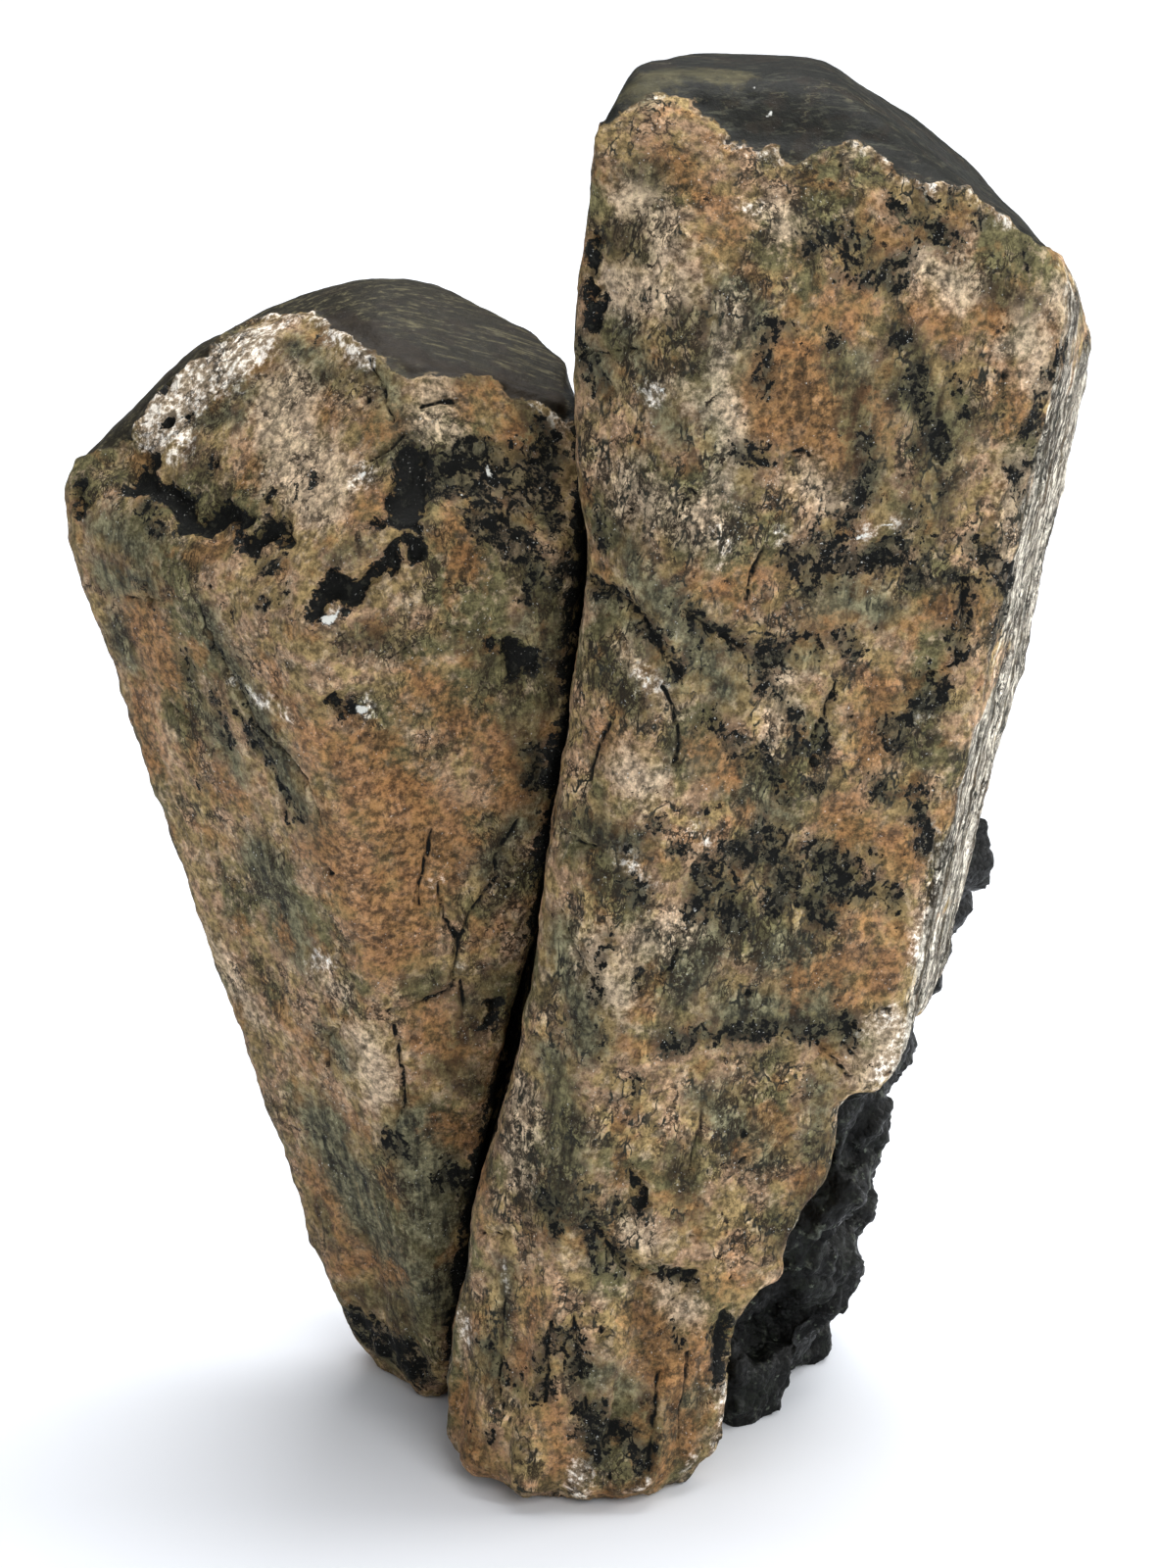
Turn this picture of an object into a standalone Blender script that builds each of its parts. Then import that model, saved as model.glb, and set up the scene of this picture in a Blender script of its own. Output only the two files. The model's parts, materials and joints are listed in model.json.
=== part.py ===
"""A willemite specimen: two stout crystals grown together on a scrap of black rock.

The tall crystal leans to the right and the short one to the left, so the pair opens upward
like a V. Both are worn six-sided prisms with low blunt tops, and their faces are set out
below as planes around each crystal's axis. The rough crust is missing from the tops and is
pitted at the shoulders. Black rock holds the lower back of the tall crystal and shows where
its right side is broken away in steps. All three pieces are cut level and stand on the cuts.

Lengths here are millimetres until build() scales the meshes to metres. +Z is up and -Y is the
front. A compass angle on a crystal is 0 at the front and 90 at the right.
"""

import math

import bmesh
import bpy
from mathutils import Matrix, Vector, noise
from mathutils.bvhtree import BVHTree

MM = 0.001

# --- driving dimensions -------------------------------------------------------------------

# Each axis runs from the foot to the shoulder.
TALL_FOOT = Vector((0.5, -5.0, 0.0))
TALL_SHOULDER = Vector((13.0, -5.5, 75.0))
SHORT_FOOT = Vector((-8.5, 4.0, 0.0))
SHORT_SHOULDER = Vector((-15.5, 0.0, 60.0))

# Side faces: compass angle, distance from the axis at the foot, and at the shoulder.
TALL_SIDES = (
    (18, 8.1, 6.9),
    (73, 12.6, 14.4),
    (138, 13.0, 17.1),
    (-162, 6.5, 11.6),
    (-102, 7.6, 11.2),
    (-42, 9.2, 11.1),
)
SHORT_SIDES = (
    (14, 6.4, 12.5),
    (74, 7.0, 17.6),
    (134, 5.0, 13.0),
    (-166, 4.0, 9.8),
    (-106, 3.8, 15.2),
    (-46, 3.8, 9.0),
)

# Top faces: compass angle, height where the face crosses the axis, tilt away from the axis.
TALL_TOPS = (
    (-5, 80.2, 50),
    (-110, 79.3, 14),
    (95, 78.6, 12),
    (98, 78.9, 29),
    (96, 89.0, 54),
    (165, 84.4, 30),
)
SHORT_TOPS = (
    (-38, 61.2, 47),
    (28, 72.4, 55),
    (90, 66.4, 29),
    (-100, 62.6, 11),
    (-105, 66.1, 38),
    (-100, 63.9, 22),
    (175, 67.3, 28),
)

# The seam between the crystals as seen from the front: across and up, and half its width.
SEAM = (
    (-0.8, 90.0, 0.2),
    (-0.6, 62.0, 0.2),
    (0.2, 53.6, 0.2),
    (0.2, 50.4, 0.2),
    (-0.8, 43.9, 0.25),
    (-1.8, 37.9, 0.25),
    (-2.6, 30.7, 0.35),
    (-4.0, 24.4, 0.6),
    (-4.9, 19.8, 0.5),
    (-5.9, 16.4, 0.3),
    (-6.6, 11.0, 0.3),
    (-7.6, 5.0, 0.3),
    (-8.0, -5.0, 0.3),
)
# Depth stations of the seam wall, and how far the wall has wandered to the right at each.
SEAM_DEPTHS = ((-40.0, 0.0), (-9.0, 0.0), (-4.5, 0.9), (1.0, 0.3), (40.0, 0.3))

# Steps of the break at the lower right of the tall crystal: across and up, top to bottom.
BREAK_STEPS = (
    (40.0, 26.5),
    (17.2, 24.9),
    (14.7, 23.4),
    (14.5, 17.7),
    (13.3, 16.2),
    (12.1, 15.2),
    (11.5, 12.0),
    (9.6, 10.9),
    (8.7, 9.6),
    (8.4, 6.0),
    (8.1, 3.0),
    (7.5, -5.0),
)
# Depth stations of the break, and how far its steps have wandered across and up at each.
BREAK_DEPTHS = (
    (-40.0, 0.0, 0.0),
    (-10.5, 0.0, 0.0),
    (-7.0, -0.9, 1.1),
    (-3.5, -1.1, -0.9),
    (0.5, -2.2, 0.9),
    (4.0, -2.0, -0.6),
    (40.0, -2.6, 0.3),
)

# Corners of the blocks that make up the black rock.
ROCK_FOOT = (
    (7.6, -4.8, -2), (11.6, -1.6, -2), (13.4, 6.5, -2), (11.5, 12.0, -2), (-1.0, 12.4, -2),
    (-3.5, 4.0, -2), (8.2, -4.0, 8), (13.0, -3.2, 14), (15.2, 0.5, 6.5), (17.1, 0.8, 17.5),
    (17.2, 8.0, 14), (12.5, 12.6, 13), (-2.0, 12.2, 9), (0.0, 4.0, 16),
)
ROCK_BACK = (
    (-11.6, 9.4, -2), (-9.6, 12.6, -2), (6.0, 13.4, -2), (-4.0, 5.0, -2), (-9.8, 10.2, 9.5),
    (-7.0, 12.4, 8.5), (-1.0, 12.2, 15), (6.0, 12.2, 19), (9.0, 13.0, 6), (2.0, 4.0, 13),
)
ROCK_SHELF = (
    (14.0, -3.2, 12), (17.4, 0.2, 14), (17.8, 0.2, 22), (15.2, -3.0, 22.5), (16.8, 9.6, 12),
    (18.6, 9.0, 25), (4.0, 12.2, 12), (5.0, 12.6, 23), (10.0, 4.0, 14),
)
ROCK_TONGUE = (
    (15.0, 6.0, 18), (18.9, 1.8, 20), (21.4, 2.4, 26.0), (23.6, 3.4, 31.0), (23.3, 4.2, 34.0),
    (19.5, 10.0, 36.0), (14.0, 12.4, 31.0), (7.0, 12.6, 24), (20.8, 8.4, 27), (9.0, 5.0, 22),
    (13.0, 12.8, 20),
)
ROCK_HOLLOW = Vector((12.6, -4.2, 5.4))     # a dark cavity under the rock's front ledge
ROCK_HOLLOW_SIZE = Vector((3.0, 4.6, 2.2))
ROCK_GROOVE = Vector((16.8, -1.0, 10.4))    # a notch between two ledges
ROCK_GROOVE_SIZE = Vector((2.6, 5.0, 1.2))

BLANK_SIZE = 240.0        # cube that the crystals are cut from
BLOCK_REACH = 80.0        # how far the cutting blocks reach sideways
CRYSTAL_GRID = 0.8        # spacing of the working mesh on the crystals
ROCK_GRID = 0.85
BELOW_BASE = 3.0          # the forms run this far below the base before they are cut level
WEAR_PASSES = 6           # how worn the crystals' edges are
TOP_WEAR_PASSES = 8       # further wear on their tops
FRESH_WEAR_PASSES = 2     # wear on the break and along the seam
ROCK_WEAR_PASSES = 2
CONTACT_GAP = 0.55        # between a crystal's plain form and what is cut to fit it
TALL_DETAIL = 0.17        # share of the working mesh that is kept
SHORT_DETAIL = 0.165
ROCK_DETAIL = 0.32

# --- marks with real depth ----------------------------------------------------------------

# Lower edge of the bare dark top of each crystal, from left to right.
TALL_CAP_EDGE = (
    (1.6, -8.6, 75.5), (2.5, -8.0, 76.2), (5.0, -7.6, 76.5), (6.5, -8.7, 75.2),
    (8.5, -9.2, 74.4), (11.9, -9.0, 74.5), (15.4, -9.4, 73.8), (18.6, -10.2, 72.6),
    (20.3, -10.2, 72.2), (22.5, -7.9, 70.6), (24.4, -6.0, 68.6),
)
SHORT_CAP_EDGE = (
    (-20.0, 3.5, 61.4), (-17.0, 1.8, 61.9), (-13.7, 0.6, 61.9), (-11.7, -0.6, 61.8),
    (-9.2, -2.6, 61.6), (-6.1, -3.0, 60.7), (-3.6, -3.0, 59.8), (-1.0, -2.9, 59.0),
)
CAP_SLOPE = math.radians(20)   # the caps end at a height measured up this backward lean
CAP_DEPTH = 0.35
CAP_EDGE_WIDTH = 0.7
CAP_EDGE_WANDER = 0.5

# Hollows in the crust: points along each one, half its width, and its depth. A pit has one
# point, a ragged patch of missing crust or a sunken vein has several.
SHORT_HOLLOWS = (
    (((-24.6, 2.2, 54.9), (-22.4, -0.4, 54.3), (-20.4, -2.6, 53.7), (-18.8, -4.4, 53.2)),
     1.1, 0.45),
    (((-16.6, -6.5, 52.9),), 1.4, 0.5),
    (((-13.4, -10.2, 51.4), (-11.6, -10.6, 52.0), (-9.6, -10.4, 52.9), (-8.2, -10.1, 53.4)),
     0.9, 0.6),
    (((-8.0, -8.6, 56.0), (-6.0, -7.8, 56.8), (-3.8, -7.2, 56.2), (-2.6, -7.4, 55.0)),
     1.9, 0.4),
    (((-11.7, -10.0, 45.4),), 1.0, 0.5),
    (((-3.3, -7.9, 46.4),), 1.3, 0.3),
    (((-6.4, -8.2, 40.0), (-6.6, -7.8, 36.0), (-5.2, -7.4, 32.0), (-6.0, -6.8, 28.0)),
     0.7, 0.25),
    (((-13.2, -5.8, 26.0), (-12.2, -6.6, 29.4), (-9.6, -7.0, 29.6), (-6.4, -7.0, 32.0)),
     0.7, 0.25),
)
TALL_HOLLOWS = (
    (((11.4, -11.5, 71.7), (14.2, -12.0, 70.4), (15.6, -11.0, 72.1)), 1.3, 0.35),
    (((12.0, -11.9, 53.3), (15.2, -11.0, 53.3)), 1.2, 0.3),
    (((14.8, -10.9, 46.9),), 1.3, 0.3),
    (((10.0, -12.3, 37.6), (12.6, -11.5, 38.0), (15.2, -10.7, 37.2)), 2.0, 0.25),
    (((2.7, -13.5, 18.7),), 1.1, 0.5),
    (((-0.8, -14.2, 10.0), (0.6, -13.8, 8.7)), 1.1, 0.45),
    (((1.6, -13.2, 4.5), (3.4, -12.6, 4.9)), 1.0, 0.45),
    (((0.6, -11.6, 52.4), (3.8, -14.6, 50.8), (6.4, -13.6, 47.3), (9.5, -12.4, 42.0),
      (10.3, -12.0, 40.2)), 0.9, 0.3),
    (((2.6, -13.4, 51.9), (7.6, -13.4, 49.8), (10.7, -12.3, 48.7), (13.2, -11.5, 48.9)),
     0.8, 0.3),
    (((0.2, -13.9, 16.8), (2.6, -13.5, 14.6), (6.4, -12.5, 12.8)), 0.8, 0.3),
)

# Upright ribs where the foot of the tall crystal is splintered: place from the left, half
# width, height of the rib and how far up it reaches.
FOOT_RIBS = (
    (-5.6, 1.7, 0.5, 10.0),
    (-3.2, 1.0, 0.3, 7.0),
    (-0.6, 1.5, 0.6, 13.0),
    (1.9, 0.9, 0.3, 6.5),
    (3.9, 1.4, 0.6, 11.0),
    (6.3, 1.1, 0.4, 12.0),
)
RIB_VALLEY = 0.45         # depth between the ribs
RIB_VALLEY_ENDS = (4.0, 11.0)   # heights where the valleys start and finish closing
RIB_SWAY = 0.5

STRIATION_PITCH = 2.3     # fluting along the tall crystal's right side
STRIATION_DEPTH = 0.10

LUMP_SIZES = (9.0, 3.5)   # the crust's broad lumps, and the smaller ones on them
LUMP_HEIGHTS = (0.20, 0.10)
HOLLOW_WANDER = 0.9       # how ragged the outlines of the hollows are
HOLLOW_FLOOR = 0.55       # share of a hollow's width that is level
FOOT_UNDERCUT = 0.6       # how far the crystals draw in just above the surface they stand on
FOOT_UNDERCUT_REACH = 1.8
FRESH_REACH = 2.0         # how near the break or the seam an edge stays sharp
TALL_TOP_START = 63.0
SHORT_TOP_START = 50.0
ROCK_BLOCK = 4.2          # size of the black rock's broken blocks
ROCK_BLOCK_STEP = 0.8     # how far blocks stand out or fall back
ROCK_CRACK = 0.4          # depth of the cracks between them
ROCK_CRACK_WIDTH = 0.25   # as a share of a block
ROCK_LUMP = 0.35          # height of the lumps on the blocks
ROCK_LUMP_SIZE = 2.4
CONTACT_CALM = 1.3        # the rock is smooth this near to a crystal that it holds

COLOURS = {
    "tall_crystal": ((0.36, 0.24, 0.16), 0.75),
    "short_crystal": ((0.34, 0.22, 0.14), 0.75),
    "black_matrix": ((0.018, 0.018, 0.020), 0.55),
}


# --- small helpers ------------------------------------------------------------------------

def ramp(low, high, value):
    """0 below low, 1 above high, with a smooth step between them."""
    share = min(1.0, max(0.0, (value - low) / (high - low)))
    return share * share * (3.0 - 2.0 * share)


def bump(distance, radius):
    """1 at the centre of a round mark and 0 from its radius outward."""
    return 1.0 - ramp(0.25 * radius, radius, distance)


def grain(place, size, seed=0.0):
    """Smooth noise between about -1 and 1 whose lumps are about one size across."""
    return noise.noise(place / size + Vector((seed, 2.0 * seed, -seed)))


def wander(place, size):
    """A direction and amount that drift smoothly from place to place."""
    return Vector(tuple(grain(place, size, seed=seed) for seed in (11.0, 13.0, 17.0)))


def path_distance(place, path):
    """Shortest distance from a place to a chain of straight runs, or to a single point."""
    shortest = (place - Vector(path[0])).length
    for start, end in zip(path, path[1:]):
        start, end = Vector(start), Vector(end)
        run = end - start
        share = min(1.0, max(0.0, (place - start).dot(run) / run.length_squared))
        shortest = min(shortest, (place - start - run * share).length)
    return shortest


def leaning_height(place):
    """Height of a place measured along a line that leans back by CAP_SLOPE."""
    return place[1] * math.sin(CAP_SLOPE) + place[2] * math.cos(CAP_SLOPE)


def edge_height(edge, across):
    """Leaning height of a cap's edge at a place across the crystal."""
    points = [(place[0], leaning_height(place)) for place in edge]
    if across <= points[0][0]:
        return points[0][1]
    for (x0, h0), (x1, h1) in zip(points, points[1:]):
        if across <= x1:
            return h0 + (h1 - h0) * (across - x0) / (x1 - x0)
    return points[-1][1]


def cap_share(place, edge):
    """1 on the bare top above a cap's edge and 0 on the crust below it."""
    height = leaning_height(place) + CAP_EDGE_WANDER * grain(place, 2.2, seed=4.0)
    return ramp(0.0, CAP_EDGE_WIDTH, height - edge_height(edge, place.x))


# --- solids from planes, corners and walls -------------------------------------------------

def crystal_frame(foot, shoulder):
    """Axes of a crystal: z runs along it and x stays close to the world's x."""
    along = (shoulder - foot).normalized()
    back = (Vector((0, 1, 0)) - along * along.y).normalized()
    return Matrix((back.cross(along), back, along)).transposed()


def crystal_planes(foot, shoulder, sides, tops):
    """Every face of a crystal as a point on it and its outward normal."""
    frame = crystal_frame(foot, shoulder)
    length = (shoulder - foot).length
    planes = []
    for compass, at_foot, at_shoulder in sides:
        turn = math.radians(compass)
        outward = Vector((math.sin(turn), -math.cos(turn), (at_foot - at_shoulder) / length))
        place = Vector((math.sin(turn), -math.cos(turn), 0.0)) * at_foot
        planes.append((foot + frame @ place, frame @ outward.normalized()))
    for compass, height, tilt in tops:
        turn, lean = math.radians(compass), math.radians(tilt)
        outward = Vector((math.sin(lean) * math.sin(turn), -math.sin(lean) * math.cos(turn),
                          math.cos(lean)))
        planes.append((foot + frame @ Vector((0.0, 0.0, height)), frame @ outward))
    return planes


def cut_away(bm, place, outward):
    """Removes what lies beyond a plane and closes the cut with a face."""
    bmesh.ops.bisect_plane(bm, geom=bm.verts[:] + bm.edges[:] + bm.faces[:], dist=1e-5,
                           plane_co=place, plane_no=outward, clear_outer=True)
    open_edges = [edge for edge in bm.edges if edge.is_boundary]
    bmesh.ops.holes_fill(bm, edges=open_edges)


def as_object(name, bm):
    """Moves a finished bmesh into a new object."""
    bmesh.ops.recalc_face_normals(bm, faces=bm.faces)
    mesh = bpy.data.meshes.new(name)
    bm.to_mesh(mesh)
    bm.free()
    result = bpy.data.objects.new(name, mesh)
    bpy.context.scene.collection.objects.link(result)
    return result


def plane_solid(name, planes, grow=0.0):
    """A faceted solid inside a set of planes, each moved outward by grow."""
    bm = bmesh.new()
    bmesh.ops.create_cube(bm, size=BLANK_SIZE)
    for place, outward in planes:
        cut_away(bm, place + outward * grow, outward)
    cut_away(bm, Vector((0.0, 0.0, -BELOW_BASE - grow)), Vector((0.0, 0.0, -1.0)))
    return as_object(name, bm)


def corner_solid(name, corners):
    """The solid stretched tight over a few corners."""
    bm = bmesh.new()
    for corner in corners:
        bm.verts.new(corner)
    hull = bmesh.ops.convex_hull(bm, input=bm.verts[:])
    spare = [item for item in hull["geom_interior"] if isinstance(item, bmesh.types.BMVert)]
    bmesh.ops.delete(bm, geom=spare, context="VERTS")
    return as_object(name, bm)


def wall_solid(name, rows, far_side):
    """A solid between a wall, given as rows of points, and the plane at x = far_side."""
    bm = bmesh.new()
    wall = [[bm.verts.new(point) for point in row] for row in rows]
    back = [[bm.verts.new((far_side, point[1], point[2])) for point in row] for row in rows]
    for sheet in (wall, back):
        for upper, lower in zip(sheet, sheet[1:]):
            for column in range(len(upper) - 1):
                bm.faces.new((upper[column], upper[column + 1],
                              lower[column + 1], lower[column]))
    rim = [edge for edge in bm.edges if edge.is_boundary]
    front = {vert: twin for row, twins in zip(wall, back) for vert, twin in zip(row, twins)}
    for edge in rim:
        start, end = edge.verts
        if start in front and end in front:
            bm.faces.new((start, end, front[end], front[start]))
    return as_object(name, bm)


def seam_block(name, side):
    """What lies left of the seam's right lip (side 1) or of its left lip (side -1)."""
    rows = []
    for across, up, half_width in SEAM:
        lip = across + side * half_width
        rows.append([(lip + drift, depth, up) for depth, drift in SEAM_DEPTHS])
    return wall_solid(name, rows, -BLOCK_REACH)


def break_block(name, extra=0.0):
    """What is broken away at the lower right of the tall crystal, moved right by extra."""
    rows = []
    for across, up in BREAK_STEPS:
        rows.append([(across + extra + drift, depth, up - extra + lift)
                     for depth, drift, lift in BREAK_DEPTHS])
    return wall_solid(name, rows, BLOCK_REACH)


# --- modelling steps ----------------------------------------------------------------------

def discard(item):
    """Removes an object and its mesh."""
    mesh = item.data
    bpy.data.objects.remove(item)
    bpy.data.meshes.remove(mesh)


def settle(item):
    """Replaces an object's mesh by what its modifiers make of it."""
    graph = bpy.context.evaluated_depsgraph_get()
    settled = bpy.data.meshes.new_from_object(item.evaluated_get(graph))
    former = item.data
    item.modifiers.clear()
    item.data = settled
    bpy.data.meshes.remove(former)


def combine(item, other, operation):
    """Boolean of an object with another, which is used up."""
    step = item.modifiers.new(operation.title(), "BOOLEAN")
    step.operation = operation
    step.solver = "EXACT"
    step.object = other
    settle(item)
    discard(other)


def regrid(item, spacing):
    """Rebuilds the surface as an even grid that can be worn and marked."""
    step = item.modifiers.new("Grid", "REMESH")
    step.mode = "VOXEL"
    step.voxel_size = spacing
    settle(item)


def wear(item, passes_at):
    """Rounds edges; passes_at gives how many smoothing passes a place gets."""
    bm = bmesh.new()
    bm.from_mesh(item.data)
    passes = {vert: passes_at(vert.co) for vert in bm.verts}
    for turn in range(max(passes.values())):
        chosen = [vert for vert in bm.verts if passes[vert] > turn]
        bmesh.ops.smooth_vert(bm, verts=chosen, factor=0.5,
                              use_axis_x=True, use_axis_y=True, use_axis_z=True)
    bm.to_mesh(item.data)
    bm.free()


def mark(item, relief):
    """Moves each point outward by relief(place, outward direction)."""
    bm = bmesh.new()
    bm.from_mesh(item.data)
    bm.normal_update()
    outward = [vert.normal.copy() for vert in bm.verts]
    for vert, direction in zip(bm.verts, outward):
        vert.co += direction * relief(vert.co, direction)
    bm.to_mesh(item.data)
    bm.free()


def simplify(item, share):
    """Keeps a share of the triangles, fewest where the surface is flat."""
    step = item.modifiers.new("Simplify", "DECIMATE")
    step.ratio = share
    step.use_collapse_triangulate = True
    settle(item)


def surface_of(item):
    """A search tree over an object's faces."""
    mesh = item.data
    points = [vert.co for vert in mesh.vertices]
    return BVHTree.FromPolygons(points, [tuple(face.vertices) for face in mesh.polygons])


def stand(item):
    """Cuts the foot level and splits every face into triangles."""
    bm = bmesh.new()
    bm.from_mesh(item.data)
    cut_away(bm, Vector((0.0, 0.0, 0.0)), Vector((0.0, 0.0, -1.0)))
    bmesh.ops.triangulate(bm, faces=bm.faces)
    bm.to_mesh(item.data)
    bm.free()


# --- the tall crystal ---------------------------------------------------------------------

TALL_PLANES = crystal_planes(TALL_FOOT, TALL_SHOULDER, TALL_SIDES, TALL_TOPS)
SHORT_PLANES = crystal_planes(SHORT_FOOT, SHORT_SHOULDER, SHORT_SIDES, SHORT_TOPS)


def tall_form(name, grow=0.0):
    """The tall crystal's plain form. Grown, it is the cutter that fits its neighbours."""
    form = plane_solid(name, TALL_PLANES, grow)
    combine(form, seam_block("seam", -1 if grow else 1), "DIFFERENCE")
    combine(form, break_block("break", grow), "DIFFERENCE")
    return form


def line_distance(place, line):
    """Distance, seen from the front, to a line given by points across and up."""
    flat = [(point[0], 0.0, point[1]) for point in line]
    return path_distance(Vector((place.x, 0.0, place.z)), flat)


def crystal_wear(place, top_start):
    """Fresh edges stay sharp, the sides are worn and the top is worn most."""
    if line_distance(place, SEAM) < FRESH_REACH:
        return FRESH_WEAR_PASSES
    if place.z > top_start:
        return WEAR_PASSES + TOP_WEAR_PASSES
    return WEAR_PASSES


def tall_wear(place):
    """The tall crystal also has the fresh steps of its break."""
    if line_distance(place, BREAK_STEPS[1:]) < FRESH_REACH:
        return FRESH_WEAR_PASSES
    return crystal_wear(place, TALL_TOP_START)


def crust(place):
    """Low lumps that the crust has everywhere."""
    return sum(height * grain(place, size, seed=height)
               for size, height in zip(LUMP_SIZES, LUMP_HEIGHTS))


def sunken(place, hollows):
    """Depth of the ragged, flat-bottomed hollows at a place."""
    ragged = place + wander(place, 2.0) * HOLLOW_WANDER
    depth = 0.0
    for path, half_width, full_depth in hollows:
        distance = path_distance(ragged, path)
        share = 1.0 - ramp(HOLLOW_FLOOR * half_width, half_width, distance)
        depth = max(depth, full_depth * share)
    return depth


def foot_ribs(place, outward):
    """Upright ribs on the front of the tall crystal's splintered foot."""
    front = ramp(0.1, 0.6, -outward.y)
    lean = (TALL_SHOULDER.x - TALL_FOOT.x) / TALL_SHOULDER.z
    sway = RIB_SWAY * grain(place, 4.0, seed=5.0)
    height = -RIB_VALLEY * (1.0 - ramp(*RIB_VALLEY_ENDS, place.z))
    for across, half_width, rib_height, reach in FOOT_RIBS:
        distance = abs(place.x - across - lean * place.z - sway)
        fade = 1.0 - ramp(0.5 * reach, reach, place.z)
        height += (rib_height + RIB_VALLEY) * fade * bump(distance, half_width)
    return front * height


def tall_relief(place, outward):
    """Height of the tall crystal's surface above its plain form."""
    height = crust(place) - CAP_DEPTH * cap_share(place, TALL_CAP_EDGE)
    height -= sunken(place, TALL_HOLLOWS)
    right_side = ramp(0.75, 0.95, outward.x)
    height += STRIATION_DEPTH * right_side * math.sin(math.tau * place.y / STRIATION_PITCH)
    height += foot_ribs(place, outward)
    return height - FOOT_UNDERCUT * (1.0 - ramp(0.0, FOOT_UNDERCUT_REACH, place.z))


def make_tall_crystal():
    """The right-hand crystal, broken away in steps at its lower right."""
    crystal = tall_form("tall_crystal")
    regrid(crystal, CRYSTAL_GRID)
    wear(crystal, tall_wear)
    mark(crystal, tall_relief)
    simplify(crystal, TALL_DETAIL)
    stand(crystal)
    return crystal


# --- the short crystal --------------------------------------------------------------------

def short_relief(place, outward):
    """Height of the short crystal's surface above its plain form."""
    height = crust(place) - CAP_DEPTH * cap_share(place, SHORT_CAP_EDGE)
    height -= sunken(place, SHORT_HOLLOWS)
    return height - FOOT_UNDERCUT * (1.0 - ramp(0.0, FOOT_UNDERCUT_REACH, place.z))


def make_short_crystal():
    """The left-hand crystal, grown against the tall one along the seam."""
    crystal = plane_solid("short_crystal", SHORT_PLANES)
    combine(crystal, tall_form("tall_fit", CONTACT_GAP), "DIFFERENCE")
    regrid(crystal, CRYSTAL_GRID)
    wear(crystal, lambda place: crystal_wear(place, SHORT_TOP_START))
    mark(crystal, short_relief)
    simplify(crystal, SHORT_DETAIL)
    stand(crystal)
    return crystal


# --- the black rock -----------------------------------------------------------------------

def ellipsoid(name, centre, half_sizes):
    """A rounded cutter for a hollow."""
    bm = bmesh.new()
    bmesh.ops.create_icosphere(bm, subdivisions=2, radius=1.0)
    for vert in bm.verts:
        vert.co = centre + vert.co * half_sizes
    return as_object(name, bm)


def rock_relief(place):
    """Broken blocks with cracks between them, and smaller lumps on top."""
    distances, blocks = noise.voronoi(place / ROCK_BLOCK)
    block = ROCK_BLOCK_STEP * noise.cell(blocks[0] * 40.0)
    crack = ROCK_CRACK * (1.0 - ramp(0.0, ROCK_CRACK_WIDTH, distances[1] - distances[0]))
    lumps = ROCK_LUMP * grain(place, ROCK_LUMP_SIZE, seed=7.0)
    return block - crack + lumps


def make_black_matrix(crystals):
    """Black rock behind and below the crystals, which stands out past the right side."""
    rock = corner_solid("black_matrix", ROCK_FOOT)
    combine(rock, corner_solid("back", ROCK_BACK), "UNION")
    combine(rock, corner_solid("shelf", ROCK_SHELF), "UNION")
    combine(rock, corner_solid("tongue", ROCK_TONGUE), "UNION")
    combine(rock, ellipsoid("hollow", ROCK_HOLLOW, ROCK_HOLLOW_SIZE), "DIFFERENCE")
    combine(rock, ellipsoid("notch", ROCK_GROOVE, ROCK_GROOVE_SIZE), "DIFFERENCE")
    combine(rock, tall_form("tall_fit", CONTACT_GAP), "DIFFERENCE")
    combine(rock, plane_solid("short_fit", SHORT_PLANES, CONTACT_GAP), "DIFFERENCE")
    regrid(rock, ROCK_GRID)
    wear(rock, lambda place: ROCK_WEAR_PASSES)
    surfaces = [surface_of(crystal) for crystal in crystals]

    def relief(place, outward):
        nearest = min(surface.find_nearest(place)[3] for surface in surfaces)
        return ramp(CONTACT_GAP, CONTACT_GAP + CONTACT_CALM, nearest) * rock_relief(place)

    mark(rock, relief)
    simplify(rock, ROCK_DETAIL)
    stand(rock)
    return rock


# --- the specimen -------------------------------------------------------------------------

def painted(name):
    """A plain material in a piece's own colour."""
    (red, green, blue), roughness = COLOURS[name]
    material = bpy.data.materials.new(name)
    material.use_nodes = True
    shader = material.node_tree.nodes["Principled BSDF"]
    shader.inputs["Base Color"].default_value = (red, green, blue, 1.0)
    shader.inputs["Roughness"].default_value = roughness
    shader.inputs["Metallic"].default_value = 0.0
    return material


def centre_on_base(pieces):
    """Puts the origin under the middle of the specimen and turns millimetres to metres."""
    points = [vert.co for piece in pieces for vert in piece.data.vertices]
    across = [point.x for point in points]
    deep = [point.y for point in points]
    middle = Vector((min(across) + max(across), min(deep) + max(deep), 0.0)) / 2.0
    move = Matrix.Scale(MM, 4) @ Matrix.Translation(-middle)
    for piece in pieces:
        piece.data.transform(move)
    return middle


def build():
    """Models the three pieces in place."""
    for item in list(bpy.data.objects):
        bpy.data.objects.remove(item)
    crystals = [make_tall_crystal(), make_short_crystal()]
    pieces = crystals + [make_black_matrix(crystals)]
    middle = centre_on_base(pieces)
    for piece in pieces:
        piece.data.materials.clear()
        piece.data.materials.append(painted(piece.name))
        piece.data.shade_flat()
        print(piece.name, len(piece.data.polygons), "triangles")
    print("origin moved by", tuple(round(value, 3) for value in middle), "mm")


build()
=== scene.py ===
# %% [markdown]
# # A willemite specimen
# Two stout crystals have grown together in a leaning V, and a scrap of black rock still clings
# to the foot of the taller one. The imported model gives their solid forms. This lesson turns
# each form into a weathered stone: a fine skin, crust and hollows pressed into that skin, and a
# mineral finish mixed from noise. First the frame is loaded, and its box is kept, because the
# finished stones must not be larger than the solids they stand for.

import json
import math
from types import SimpleNamespace

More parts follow.
